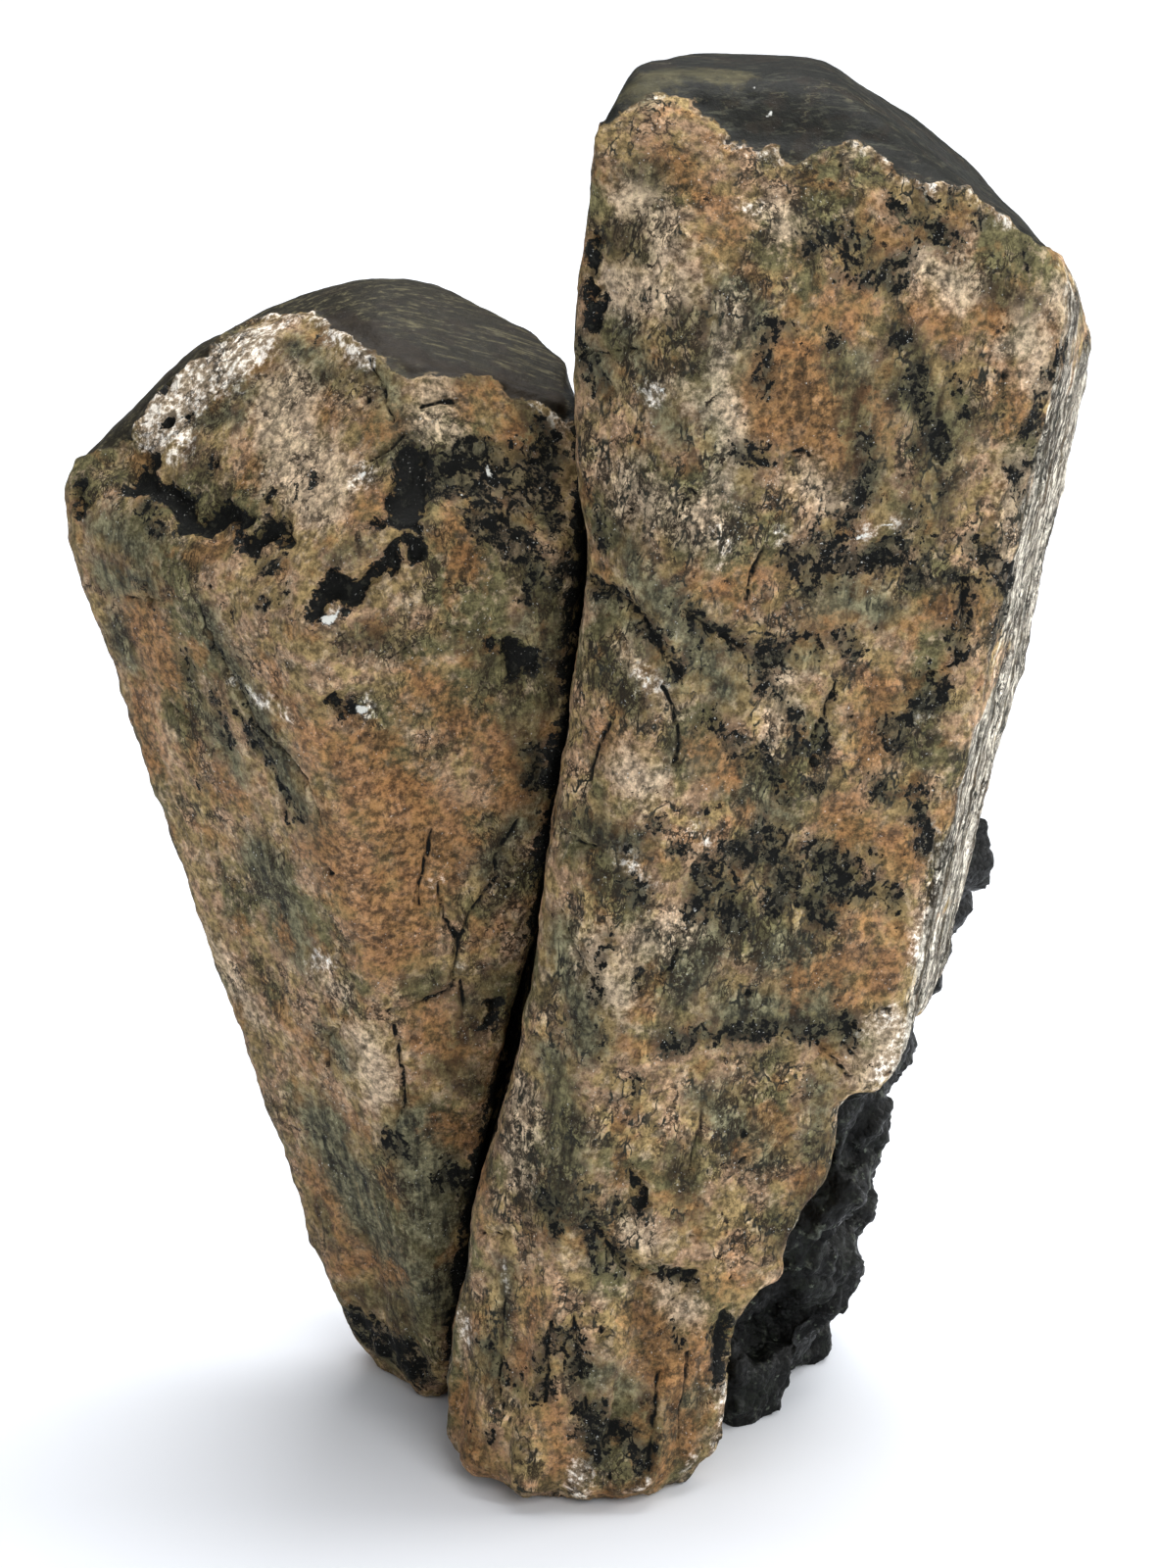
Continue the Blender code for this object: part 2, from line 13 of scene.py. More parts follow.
import bpy
import numpy as np
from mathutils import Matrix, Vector
from mathutils.bvhtree import BVHTree

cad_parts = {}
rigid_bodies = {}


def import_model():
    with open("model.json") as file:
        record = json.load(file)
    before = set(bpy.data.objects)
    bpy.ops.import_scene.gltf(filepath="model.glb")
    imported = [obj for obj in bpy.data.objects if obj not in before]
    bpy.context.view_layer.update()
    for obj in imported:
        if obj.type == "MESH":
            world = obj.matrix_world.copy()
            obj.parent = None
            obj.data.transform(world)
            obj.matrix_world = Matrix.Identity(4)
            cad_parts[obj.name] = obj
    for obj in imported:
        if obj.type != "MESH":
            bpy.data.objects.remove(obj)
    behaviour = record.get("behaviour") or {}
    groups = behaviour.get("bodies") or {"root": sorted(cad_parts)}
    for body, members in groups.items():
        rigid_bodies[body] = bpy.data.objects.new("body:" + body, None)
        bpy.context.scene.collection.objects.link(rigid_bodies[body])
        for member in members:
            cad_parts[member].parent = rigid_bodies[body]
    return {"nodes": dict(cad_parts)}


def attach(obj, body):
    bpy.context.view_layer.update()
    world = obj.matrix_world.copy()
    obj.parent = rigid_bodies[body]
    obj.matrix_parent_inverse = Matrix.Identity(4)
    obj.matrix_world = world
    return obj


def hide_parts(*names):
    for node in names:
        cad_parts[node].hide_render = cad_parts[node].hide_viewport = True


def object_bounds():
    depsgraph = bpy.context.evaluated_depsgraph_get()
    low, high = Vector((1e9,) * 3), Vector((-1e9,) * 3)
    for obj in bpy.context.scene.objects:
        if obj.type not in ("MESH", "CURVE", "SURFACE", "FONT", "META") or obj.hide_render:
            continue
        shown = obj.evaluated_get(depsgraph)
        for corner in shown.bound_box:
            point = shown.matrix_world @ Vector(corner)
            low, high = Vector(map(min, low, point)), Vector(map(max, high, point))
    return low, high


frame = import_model()
CAD_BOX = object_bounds()
MM = 0.001
print("stones in the frame:", sorted(frame["nodes"]))
print("their box in mm:", [round((high - low) / MM, 1) for low, high in zip(*CAD_BOX)])

# %% [markdown]
# ## The camera
# A collector's picture of a mineral is taken with a long lens from slightly above, so that the
# crystal faces keep their angles. The camera is set out from the point it looks at: a height on
# the specimen, an elevation and a distance. The same numbers later aim rays through single
# points of the picture, which is how marks are laid on the stone where they are seen.

# %% Set up the camera
LOOK_AT = Vector((0.237, 0.42, 37.0)) * MM
ELEVATION = math.radians(20)
DISTANCE = 285 * MM
LENS = 120.0                    # mm, on Blender's 36 mm sensor
SENSOR = 36.0
PICTURE = (1178, 1600)          # width and height of the picture in pixels
SIGHT = Vector((0.0, math.cos(ELEVATION), -math.sin(ELEVATION)))
PICTURE_UP = Vector((0.0, math.sin(ELEVATION), math.cos(ELEVATION)))
EYE = LOOK_AT - SIGHT * DISTANCE

bpy.ops.object.camera_add(location=EYE, rotation=(math.pi / 2 - ELEVATION, 0.0, 0.0))
camera = bpy.context.active_object
camera.data.lens = LENS
camera.data.sensor_width = SENSOR
camera.data.clip_start = 10 * MM
bpy.context.scene.camera = camera
print("camera at", [round(value / MM) for value in EYE], "mm")

# %% [markdown]
# ## The floor
# Minerals show best in a light tent, white all round. The floor is one broad sheet of
# white paper that runs out of the picture. It lies a hair below the specimen's foot, so that
# the two don't share a plane.

# %% Lay the floor
FLOOR_SIZE = 6.0                # m
FLOOR_DROP = 0.02 * MM
FLOOR_WHITE = (0.90, 0.93, 0.985, 1.0)

bpy.ops.mesh.primitive_plane_add(size=FLOOR_SIZE, location=(0.0, 0.0, -FLOOR_DROP))
floor = bpy.context.active_object
floor.name = "floor"
paper = bpy.data.materials.new("white paper")
paper.use_nodes = True
paper_shader = paper.node_tree.nodes["Principled BSDF"]
paper_shader.inputs["Base Color"].default_value = FLOOR_WHITE
paper_shader.inputs["Roughness"].default_value = 0.9
floor.data.materials.append(paper)
print("floor", FLOOR_SIZE, "m wide")

# %% [markdown]
# ## The light
# A large soft lamp hangs overhead, a little behind the specimen, so that the tops are bright
# and the shadow falls forward. One on the right makes the striated side face shine, one in
# front fills the faces that look at the camera, and a weak one on the left keeps the left faces
# readable. The pale world stands for the tent's cloth. The Standard view keeps white paper
# white and black rock black.

# %% Hang the lamps
LAMPS = {                       # place (m), size (m), watts, tint
    "overhead": ((0.08, 0.17, 0.58), 0.58, 4.88, (1.0, 1.0, 1.0)),
    "right": ((0.52, 0.10, 0.20), 0.30, 1.8, (1.0, 0.99, 0.97)),
    "left": ((-0.45, -0.30, 0.22), 0.35, 0.30, (0.97, 0.98, 1.0)),
    "front": ((0.20, -0.50, 0.40), 0.36, 1.85, (1.0, 1.0, 0.99)),
}
TENT_CLOTH = (0.95, 0.97, 1.0, 1.0)
TENT_BRIGHTNESS = 0.19

for name, (place, size, watts, tint) in LAMPS.items():
    bpy.ops.object.light_add(type="AREA", location=place)
    lamp = bpy.context.active_object
    lamp.name = name + " lamp"
    lamp.data.size = size
    lamp.data.energy = watts
    lamp.data.color = tint
    lamp.rotation_euler = (LOOK_AT - Vector(place)).to_track_quat("-Z", "Y").to_euler()

tent = bpy.data.worlds.new("light tent")
tent.use_nodes = True
cloth = tent.node_tree.nodes["Background"]
cloth.inputs["Color"].default_value = TENT_CLOTH
cloth.inputs["Strength"].default_value = TENT_BRIGHTNESS
bpy.context.scene.world = tent
bpy.context.scene.view_settings.view_transform = "Standard"
bpy.context.scene.view_settings.look = "None"
print("lamps:", ", ".join(LAMPS))

# %% [markdown]
# ## A fine skin over each solid
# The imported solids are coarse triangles. Sculptors meet this with a voxel remesh: the form is
# rebuilt as an even grid of small quads, which can take detail anywhere. The copy's doubles are
# merged first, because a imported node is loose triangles. A Smooth modifier then melts the
# facets, and wears the edges as the real ones are worn. The node itself is left untouched.

# %% How a skin is made


def nothing_selected():
    """Operators act on what is selected, so every step starts from an empty selection."""
    bpy.ops.object.select_all(action="DESELECT")


def keep_outer_shell(skin):
    """Deletes any crumbs that the remesh made, all that isn't joined to the highest point."""
    heights = [vert.co.z for vert in skin.data.vertices]
    skin.data.vertices.foreach_set("select", [False] * len(heights))
    skin.data.vertices[heights.index(max(heights))].select = True
    bpy.ops.object.mode_set(mode="EDIT")
    bpy.ops.mesh.select_mode(type="VERT")
    bpy.ops.mesh.select_linked()
    bpy.ops.mesh.select_all(action="INVERT")
    bpy.ops.mesh.delete(type="VERT")
    bpy.ops.object.mode_set(mode="OBJECT")


def fine_skin(node, name, grid, passes):
    """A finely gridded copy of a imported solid, ready to take relief."""
    nothing_selected()
    solid = frame["nodes"][node]
    solid.select_set(True)
    bpy.context.view_layer.objects.active = solid
    bpy.ops.object.duplicate()
    skin = bpy.context.active_object
    skin.name = skin.data.name = name
    skin.parent = None
    for key in list(skin.keys()):
        del skin[key]
    bpy.ops.object.mode_set(mode="EDIT")
    bpy.ops.mesh.select_all(action="SELECT")
    bpy.ops.mesh.remove_doubles(threshold=0.001 * MM)
    bpy.ops.object.mode_set(mode="OBJECT")
    remesh = skin.modifiers.new("Even grid", "REMESH")
    remesh.mode = "VOXEL"
    remesh.voxel_size = grid * MM
    melt = skin.modifiers.new("Melt facets", "SMOOTH")
    melt.factor = 0.5
    melt.iterations = passes
    for step in (remesh.name, melt.name):
        bpy.ops.object.modifier_apply(modifier=step)
    skin.data.materials.clear()
    keep_outer_shell(skin)
    print(name, "has", 2 * len(skin.data.polygons), "triangles")
    return skin


# %% [markdown]
# ## Three skins
# The grid decides how fine the relief can be, and a piece may not have too many triangles. So
# the largest crystal has the coarsest grid. The rock is smoothed less, because it stays rough.

# %% Make the skins
TALL_GRID, SHORT_GRID, ROCK_GRID = 0.285, 0.25, 0.25        # mm
MELT_PASSES = 8
ROCK_MELT_PASSES = 2

tall = fine_skin("tall_crystal", "tall_crystal_stone", TALL_GRID, MELT_PASSES)
short = fine_skin("short_crystal", "short_crystal_stone", SHORT_GRID, MELT_PASSES)
rock = fine_skin("black_matrix", "black_matrix_stone", ROCK_GRID, ROCK_MELT_PASSES)
print("skins:", [skin.name for skin in (tall, short, rock)])

# %% [markdown]
# ## Reading and moving the points of a skin
# Relief could be sculpted with brushes, but a script can do the same by moving each point along
# its normal. All points are handled at once as arrays, in millimetres. The normals are summed
# from the faces here rather than asked from the mesh, so that every run gives the same result.

# %% Points and normals as arrays
NO_LENGTH = 1e-9                # keeps a division from failing on a direction of no length


def places_of(skin):
    """All points of a skin in mm, one row each."""
    flat = np.empty(len(skin.data.vertices) * 3)
    skin.data.vertices.foreach_get("co", flat)
    return flat.reshape(-1, 3) / MM


def outward_of(skin, places):
    """The outward direction at every point, averaged over the faces around it."""
    corners = np.empty(len(skin.data.loops), np.int32)
    skin.data.loops.foreach_get("vertex_index", corners)
    quads = corners.reshape(-1, 4)
    across = places[quads[:, 2]] - places[quads[:, 0]]
    along = places[quads[:, 3]] - places[quads[:, 1]]
    facing = np.cross(across, along)
    summed = np.stack([
        np.bincount(quads.ravel(), np.repeat(facing[:, axis], 4), len(places))
        for axis in range(3)
    ], axis=1)
    return summed / np.maximum(np.linalg.norm(summed, axis=1, keepdims=True), NO_LENGTH)


def set_places(skin, places):
    """Writes moved points back into the mesh."""
    skin.data.vertices.foreach_set("co", (places * MM).ravel())
    skin.data.update()


def keep(skin, name, values):
    """Stores one number per point, for the materials to read."""
    layer = skin.data.attributes.new(name, "FLOAT", "POINT")
    layer.data.foreach_set("value", values.astype(np.float32))


def boxed(rows):
    """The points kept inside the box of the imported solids."""
    low, high = (np.array(corner) / MM for corner in CAD_BOX)
    return np.clip(rows, low, high)


print("the stones stay between", boxed([-np.inf] * 3).round(1), "and", boxed([np.inf] * 3).round(1))

# %% [markdown]
# ## Fitting the worn forms
# The solids are plain, and the real stones are worn rounder here and stand out further there.
# A few broad strokes bring the skins to the real outline, as a sculptor's Grab brush does: each
# pulls the points around its centre, and fades out. The crystals' feet are then rounded, so
# that they meet the floor with a soft edge.

# %% Fit the forms
GRABS = {                       # centre, reach and pull of each stroke in mm
    tall: (
        ((2.8, -2.2, 76.0), 4.2, (-0.25, 0.0, 1.1)),
        ((6.0, 3.5, 76.4), 3.0, (0.0, 0.0, 0.35)),
        ((13.5, 5.0, 76.2), 3.5, (0.0, 0.0, -0.3)),
        ((22.6, 4.0, 69.6), 4.0, (-0.2, 0.0, -0.5)),
        ((1.5, -12.2, 1.0), 5.0, (0.0, -2.0, -0.2)),
        ((16.4, -9.0, 25.0), 2.6, (0.3, 0.0, -2.2)),
    ),
    short: (
        ((-1.0, 5.0, 60.0), 7.0, (0.0, 0.0, 1.75)),
        ((-10.5, 8.3, 62.6), 7.0, (0.0, 0.0, 0.7)),
        ((-22.0, 3.5, 33.0), 9.0, (-0.3, 0.0, 0.0)),
    ),
    rock: (
        ((24.1, 4.6, 33.2), 2.4, (-0.9, -0.7, 0.0)),
        ((23.5, 9.0, 31.0), 4.5, (0.0, -1.8, 0.0)),
        ((20.9, 3.6, 24.3), 2.2, (-0.5, 0.0, 0.0)),
        ((19.0, 7.0, 18.8), 2.5, (0.7, 0.0, 0.0)),
        ((18.0, 2.2, 14.4), 3.0, (-0.7, 0.0, 0.0)),
        ((15.4, 1.8, 7.6), 3.2, (1.2, 0.0, 0.0)),
        ((12.0, -1.5, 0.6), 3.4, (-0.9, -0.5, 0.0)),
    ),
}
ROUNDED_FEET = {                # middle of the foot in mm, and the share drawn in at the floor
    tall: ((1.5, -6.5), 0.36),
    short: ((-8.0, 3.5), 0.22),
    rock: ((8.0, 4.0), 0.0),
}
ROUNDED_HEIGHT = 2.4            # mm above the floor


def grabbed(rows, strokes):
    """The points pulled by a few broad strokes, each fading out around its centre."""
    for centre, reach, pull in strokes:
        near = np.exp(-np.sum((rows - centre) ** 2, axis=1) / reach ** 2)
        rows = rows + near[:, None] * pull
    return boxed(rows)


def rounded_foot(rows, middle, amount):
    """The points near the floor drawn in, so that the stone's foot is rounded."""
    low = np.clip(1.0 - rows[:, 2] / ROUNDED_HEIGHT, 0.0, 1.0)
    inwards = amount * (1.0 - np.sqrt(1.0 - low ** 2))
    rows = rows.copy()
    rows[:, :2] += (np.array(middle) - rows[:, :2]) * inwards[:, None]
    return rows


for skin, strokes in GRABS.items():
    set_places(skin, rounded_foot(grabbed(places_of(skin), strokes), *ROUNDED_FEET[skin]))

places = {skin.name: places_of(skin) for skin in (tall, short, rock)}
outward = {skin.name: outward_of(skin, places[skin.name]) for skin in (tall, short, rock)}
print("points:", {name: len(rows) for name, rows in places.items()})

# %% [markdown]
# ## Smooth noise
# Natural surfaces are built from a few plain ingredients. The first is smooth noise, for lumps
# and for wandering edges: each corner of a lattice gets a slope, and the slopes are blended.
# A soft ramp turns a distance into a share. Both are written out for arrays, with a fixed seed
# in each, because they are used for the shape as well as for the places of the colours.

# %% Ramps and smooth noise


def ramp(low, high, value):
    """0 below low, 1 above high, and a smooth step between."""
    share = np.clip((value - low) / (high - low), 0.0, 1.0)
    return share * share * (3.0 - 2.0 * share)


def scrambled(cell, seed):
    """A repeatable whole number for each cell of a lattice."""
    key = cell[:, 0] * 73856093 ^ cell[:, 1] * 19349663 ^ cell[:, 2] * 83492791 ^ seed * 7919
    for multiplier in (2246822519, 3266489917):
        key = (key ^ (key >> 15)) & 0xFFFFFFFF
        key = (key * multiplier) & 0xFFFFFFFF
    return (key ^ (key >> 16)) & 0xFFFFFFFF


def three_numbers(cell, seed):
    """Three repeatable numbers from -1 to 1 for each cell."""
    key = scrambled(cell, seed)
    return np.stack([(key >> shift & 1023) / 511.5 - 1.0 for shift in (0, 10, 20)], axis=1)


def grain(rows, size, seed=0):
    """Smooth noise, about -1 to 1, with lumps of about that size in mm."""
    spots = rows / size
    cell = np.floor(spots).astype(np.int64)
    within = spots - cell
    fade = within ** 3 * (within * (within * 6.0 - 15.0) + 10.0)
    total = np.zeros(len(rows))
    for corner in np.ndindex(2, 2, 2):
        near = np.array(corner)
        share = np.prod(np.where(near, fade, 1.0 - fade), axis=1)
        slope = three_numbers(cell + near, seed)
        total += share * np.sum(slope * (within - near), axis=1)
    return total * 1.6


def rough_grain(rows, size, seed=0, layers=3):
    """Noise with finer and weaker noise on top of it."""
    return sum(grain(rows, size / 2 ** layer, seed + layer) / 1.8 ** layer
               for layer in range(layers))


def wander(rows, size, seed=0):
    """A smooth displacement of every point, for ragged edges."""
    return np.stack([grain(rows, size, seed + 31 * axis) for axis in range(3)], axis=1)


print("noise at the origin:", round(float(grain(np.array([[0.4, 0.2, 0.1]]), 1.0)[0]), 3))

# %% [markdown]
# ## Cells
# The second ingredient is cells, for pits and blocky grains. Points are scattered, one in each
# box of a lattice, and every place belongs to the nearest. The distance to the next nearest
# tells how close the joint between two cells is.

# %% Cells
SCATTER = 0.45                  # share of a box that its point may stray from the middle


def cells(rows, size, seed=0):
    """Distance to the nearest and next scattered point, and three numbers of the nearest."""
    spots = rows / size
    cell = np.floor(spots).astype(np.int64)
    nearest = np.full(len(rows), 9.0)
    second = nearest.copy()
    numbers = np.zeros((len(rows), 3))
    for step in np.ndindex(3, 3, 3):
        around = cell + np.array(step) - 1
        jitter = three_numbers(around, seed)
        distance = np.linalg.norm(around + 0.5 + SCATTER * jitter - spots, axis=1)
        closer = distance < nearest
        second = np.where(closer, nearest, np.minimum(second, distance))
        numbers[closer] = three_numbers(around[closer], seed + 5)
        nearest = np.where(closer, distance, nearest)
    return nearest * size, second * size, numbers


print("cells ready")

# %% [markdown]
# ## Laying marks on the stone
# Every patch, vein and crack has its place. A mark is written as it is read:
# half its width in mm, then x and y of each point of the picture that it runs through. Each
# point becomes a ray from the camera, and where it meets the stone the mark has its true place.
# From there a field is made for each kind of mark: how many mm a point of the skin lies inside
# the nearest mark of that kind, or outside it if the number is negative.

# %% Rays and fields
FAR = -3.0                      # mm; no mark is felt further out than this
NUDGES = 12                     # times that a ray is tried
NUDGE = 4.0                     # pixels that a ray which misses is moved towards the stone
PIXELS_PER_RADIAN = LENS / SENSOR * max(PICTURE)


def aim(pixel):
    """The direction from the camera through a point of the picture."""
    right = (pixel[0] - PICTURE[0] / 2) / PIXELS_PER_RADIAN
    up = (PICTURE[1] / 2 - pixel[1]) / PIXELS_PER_RADIAN
    return (SIGHT + Vector((right, 0.0, 0.0)) + PICTURE_UP * up).normalized()


def seen_at(skin, pixel, middle):
    """Where a point of the picture lies on a stone, in mm."""
    spot = Vector(pixel)
    for _ in range(NUDGES):
        hit, place, _, _ = skin.ray_cast(EYE, aim(spot))
        if hit:
            return np.array(place) / MM
        spot += (Vector(middle) - spot).normalized() * NUDGE
    return None


def path_distance(rows, path):
    """Distance in mm from every point to a path of one or more places."""
    nearest = np.linalg.norm(rows - path[0], axis=1)
    for start, end in zip(path, path[1:]):
        run = end - start
        share = np.clip((rows - start) @ run / max(run @ run, NO_LENGTH), 0.0, 1.0)
        nearest = np.minimum(nearest, np.linalg.norm(rows - start - share[:, None] * run, axis=1))
    return nearest


def inside_marks(skin, marks, middle, rows):
    """How deep inside the nearest mark each point lies, in mm."""
    field = np.full(len(rows), FAR)
    for half_width, *numbers in marks:
        path = [seen_at(skin, pixel, middle) for pixel in zip(numbers[::2], numbers[1::2])]
        path = [place for place in path if place is not None]
        if path:
            field = np.maximum(field, half_width - path_distance(rows, path))
    return field


print("rays through the middle of the picture run along", [round(value, 2) for value in SIGHT])

# %% [markdown]
# ## The short crystal's black marks
# Black mineral shows where the crust is missing: a big square-sided patch beside the seam, a
# curling S, and blots on the left shoulder. These are also hollows. Charred patches are crust
# that is half eaten away, and umber is a brown stain in the crust.

# %% Black marks of the short crystal
SHORT_MIDDLE = (330, 700)       # rays that miss the stone are moved towards this point
SHORT_MARKS = {}
SHORT_MARKS["black"] = (
    (0.75, 150,470, 138,492, 165,500, 185,515, 192,536),
    (0.75, 190,538, 215,536, 230,522, 246,530), (0.55, 258,556, 266,545, 285,541, 291,551),
    (0.45, 322,628, 329,605, 345,594, 365,593, 385,588),
    (0.5, 385,588, 398,575, 406,558, 420,555, 430,568), (0.8, 342,600, 356,602),
    (1.0, 418,468, 418,525), (0.28, 384,534, 412,532), (0.35, 502,655, 503,656),
    (0.65, 522,662, 527,684, 536,676), (0.45, 343,718, 360,719), (0.35, 328,336, 322,344),
    (0.3, 172,393, 168,398), (0.28, 168,436, 180,432, 196,424), (0.22, 216,474, 214,486),
    (0.5, 80,500, 84,518), (0.2, 270,512, 280,506), (0.2, 300,508, 307,502),
    (0.22, 324,486, 327,494), (0.25, 140,592, 150,612), (0.28, 230,622, 233,634),
    (0.22, 290,826, 298,844), (0.45, 500,1040, 508,1030),
)
SHORT_MARKS["char_and_shade"] = (
    (0.35, 142,520, 155,524, 156,542), (1.1, 440,482, 500,480, 540,500),
    (0.8, 490,515, 528,545, 545,590), (0.5, 556,430, 566,520, 570,600), (0.5, 545,770, 552,800),
    (0.35, 258,572, 275,578, 286,571), (0.65, 440,466, 512,462), (0.75, 440,492, 552,488),
    (0.65, 535,470, 555,486), (0.65, 480,522, 496,540), (0.35, 505,550, 522,562, 545,576, 528,584),
    (0.35, 186,664, 194,688), (0.22, 212,645, 244,702, 268,758), (0.2, 240,728, 276,786, 308,840),
    (0.16, 222,716, 232,760), (0.28, 264,614, 286,612), (0.75, 396,1160, 405,1174),
    (0.9, 458,1200, 480,1212), (1.5, 368,1356, 390,1378, 420,1390),
)
SHORT_MARKS["umber"] = (
    (1.1, 338,326, 385,346, 430,366, 475,376, 525,388, 562,402), (1.0, 536,740, 545,790),
    (0.9, 560,610, 562,720), (0.9, 530,400, 562,470), (0.8, 470,1060, 500,1000),
    (0.7, 525,705, 530,730), (1.0, 452,1092, 478,1104), (0.6, 345,568, 372,560),
    (0.8, 355,655, 385,650), (0.6, 480,652, 500,690), (0.5, 195,455, 205,490),
    (0.6, 420,350, 400,345), (0.55, 370,380, 400,375), (1.2, 370,1325, 430,1345),
    (0.6, 425,1000, 470,990), (0.8, 325,1230, 340,1260), (0.5, 190,730, 215,760),
)
print("black marks:", {kind: len(marks) for kind, marks in SHORT_MARKS.items()})

# %% [markdown]
# ## The short crystal's colours
# Under the dark bare top the crust is pale at its rim, then buff, and orange down the front.
# Grey-green streaks run down the left face. Rust, moss, pale and bloom are clouds of colour; the
# pale marks also hold a few small painted glints. A painted glint spot is a single bright point,
# a painted highlight.

# %% Colours of the short crystal
SHORT_MARKS["rust"] = (
    (0.55, 322,425, 328,432), (0.65, 385,440, 402,432), (0.9, 362,520, 388,512),
    (1.5, 148,634, 165,682), (0.9, 142,720, 156,778), (1.4, 318,752, 362,782),
    (1.8, 340,870, 384,930), (2.4, 390,810, 440,858), (1.8, 424,905, 398,970),
    (1.2, 505,760, 528,800), (0.7, 440,395, 505,393), (0.6, 476,414, 478,418),
    (0.7, 470,545, 478,566), (1.1, 440,1040, 466,1078), (0.9, 462,1150, 482,1168),
    (0.8, 350,1290, 404,1300), (0.8, 318,1200, 350,1262), (1.1, 430,700, 480,745),
    (0.9, 535,455, 525,440),
)
SHORT_MARKS["moss"] = (
    (0.85, 368,372, 396,386, 402,408, 408,432, 402,460),
    (1.1, 205,632, 240,690, 272,750, 292,800, 320,842), (0.8, 212,732, 240,782),
    (0.6, 232,390, 262,398), (0.6, 178,440, 240,420), (1.1, 105,588, 150,598),
    (0.8, 120,640, 128,670), (2.2, 330,1150, 362,1222, 402,1292, 442,1322),
    (1.6, 420,1150, 442,1250), (0.8, 540,636, 566,650), (0.8, 540,834, 508,866, 500,888),
    (0.8, 338,1060, 352,1090), (1.6, 270,880, 300,960), (0.9, 100,540, 150,560),
    (0.9, 300,350, 330,380),
)
# Pale crust at the rim, and some small marks that are painted glints, painted highlights.
SHORT_MARKS["pale_and_glint"] = (
    (2.0, 164,430, 182,408, 206,384, 232,366, 252,352), (0.6, 190,440, 178,470),
    (0.5, 268,324, 330,322, 350,344, 378,370), (0.4, 376,480, 364,486), (0.3, 338,626, 326,632),
    (0.28, 378,706, 374,724), (0.32, 232,690, 262,712, 292,730), (0.2, 196,692, 197,696),
    (0.28, 470,984, 472,988), (0.22, 440,903, 442,908), (0.38, 322,982, 336,976),
    (0.45, 575,430, 550,410),
)
SHORT_MARKS["bloom"] = (
    (2.0, 290,410, 300,470, 330,500), (0.6, 436,430, 460,444), (1.3, 370,1062, 382,1112),
    (0.6, 330,1000, 352,1012), (0.8, 440,380, 440,425), (0.7, 215,960, 260,1040),
)
# Painted glint spots: single bright points, painted highlights where small faces catch the light.
SHORT_MARKS["painted_glint_spot"] = (
    (0.2, 334,632, 342,626), (0.12, 350,640), (0.16, 364,718, 374,724), (0.1, 378,708),
    (0.12, 236,634), (0.1, 330,492), (0.08, 275,500), (0.1, 498,480, 504,486), (0.08, 470,497),
    (0.1, 372,486, 380,478), (0.08, 196,692), (0.1, 470,986),
)
print("strokes of rust:", len(SHORT_MARKS["rust"]))

# %% [markdown]
# ## The short crystal's cracks
# Thin cracks cross the lower half and run down beside the streaks. The rim is the line where
# the crust ends below the bare top, and it stands up a little.

# %% Cracks of the short crystal
SHORT_MARKS["crack"] = (
    (0.1, 333,1090, 333,1060, 350,1040, 396,1034, 430,1026, 462,1010),
    (0.12, 462,1010, 466,985, 470,962, 454,938, 447,904),
    (0.12, 470,962, 480,935, 498,910, 508,898), (0.12, 442,846, 438,872, 430,900, 427,924),
    (0.14, 402,1048, 410,1085, 414,1130, 404,1150), (0.1, 470,1000, 476,1032),
    (0.1, 398,674, 416,664, 431,660), (0.12, 530,838, 506,874, 508,892),
    (0.12, 200,620, 214,656, 240,702, 260,742, 286,766, 312,798), (0.1, 312,798, 326,838),
    (0.1, 172,720, 192,738), (0.1, 376,364, 388,392, 401,430), (0.14, 462,408, 430,414),
    (0.12, 412,442, 398,456, 376,470), (0.1, 450,640, 470,645), (0.08, 130,610, 165,614),
)
SHORT_MARKS["rim"] = (
    (0.1, 136,438, 152,414, 172,390, 215,352, 262,322, 330,328, 352,345),
    (0.1, 352,345, 395,378, 418,392, 470,384, 520,390, 570,412),
)
print("marks on the short crystal:", {kind: len(marks) for kind, marks in SHORT_MARKS.items()})
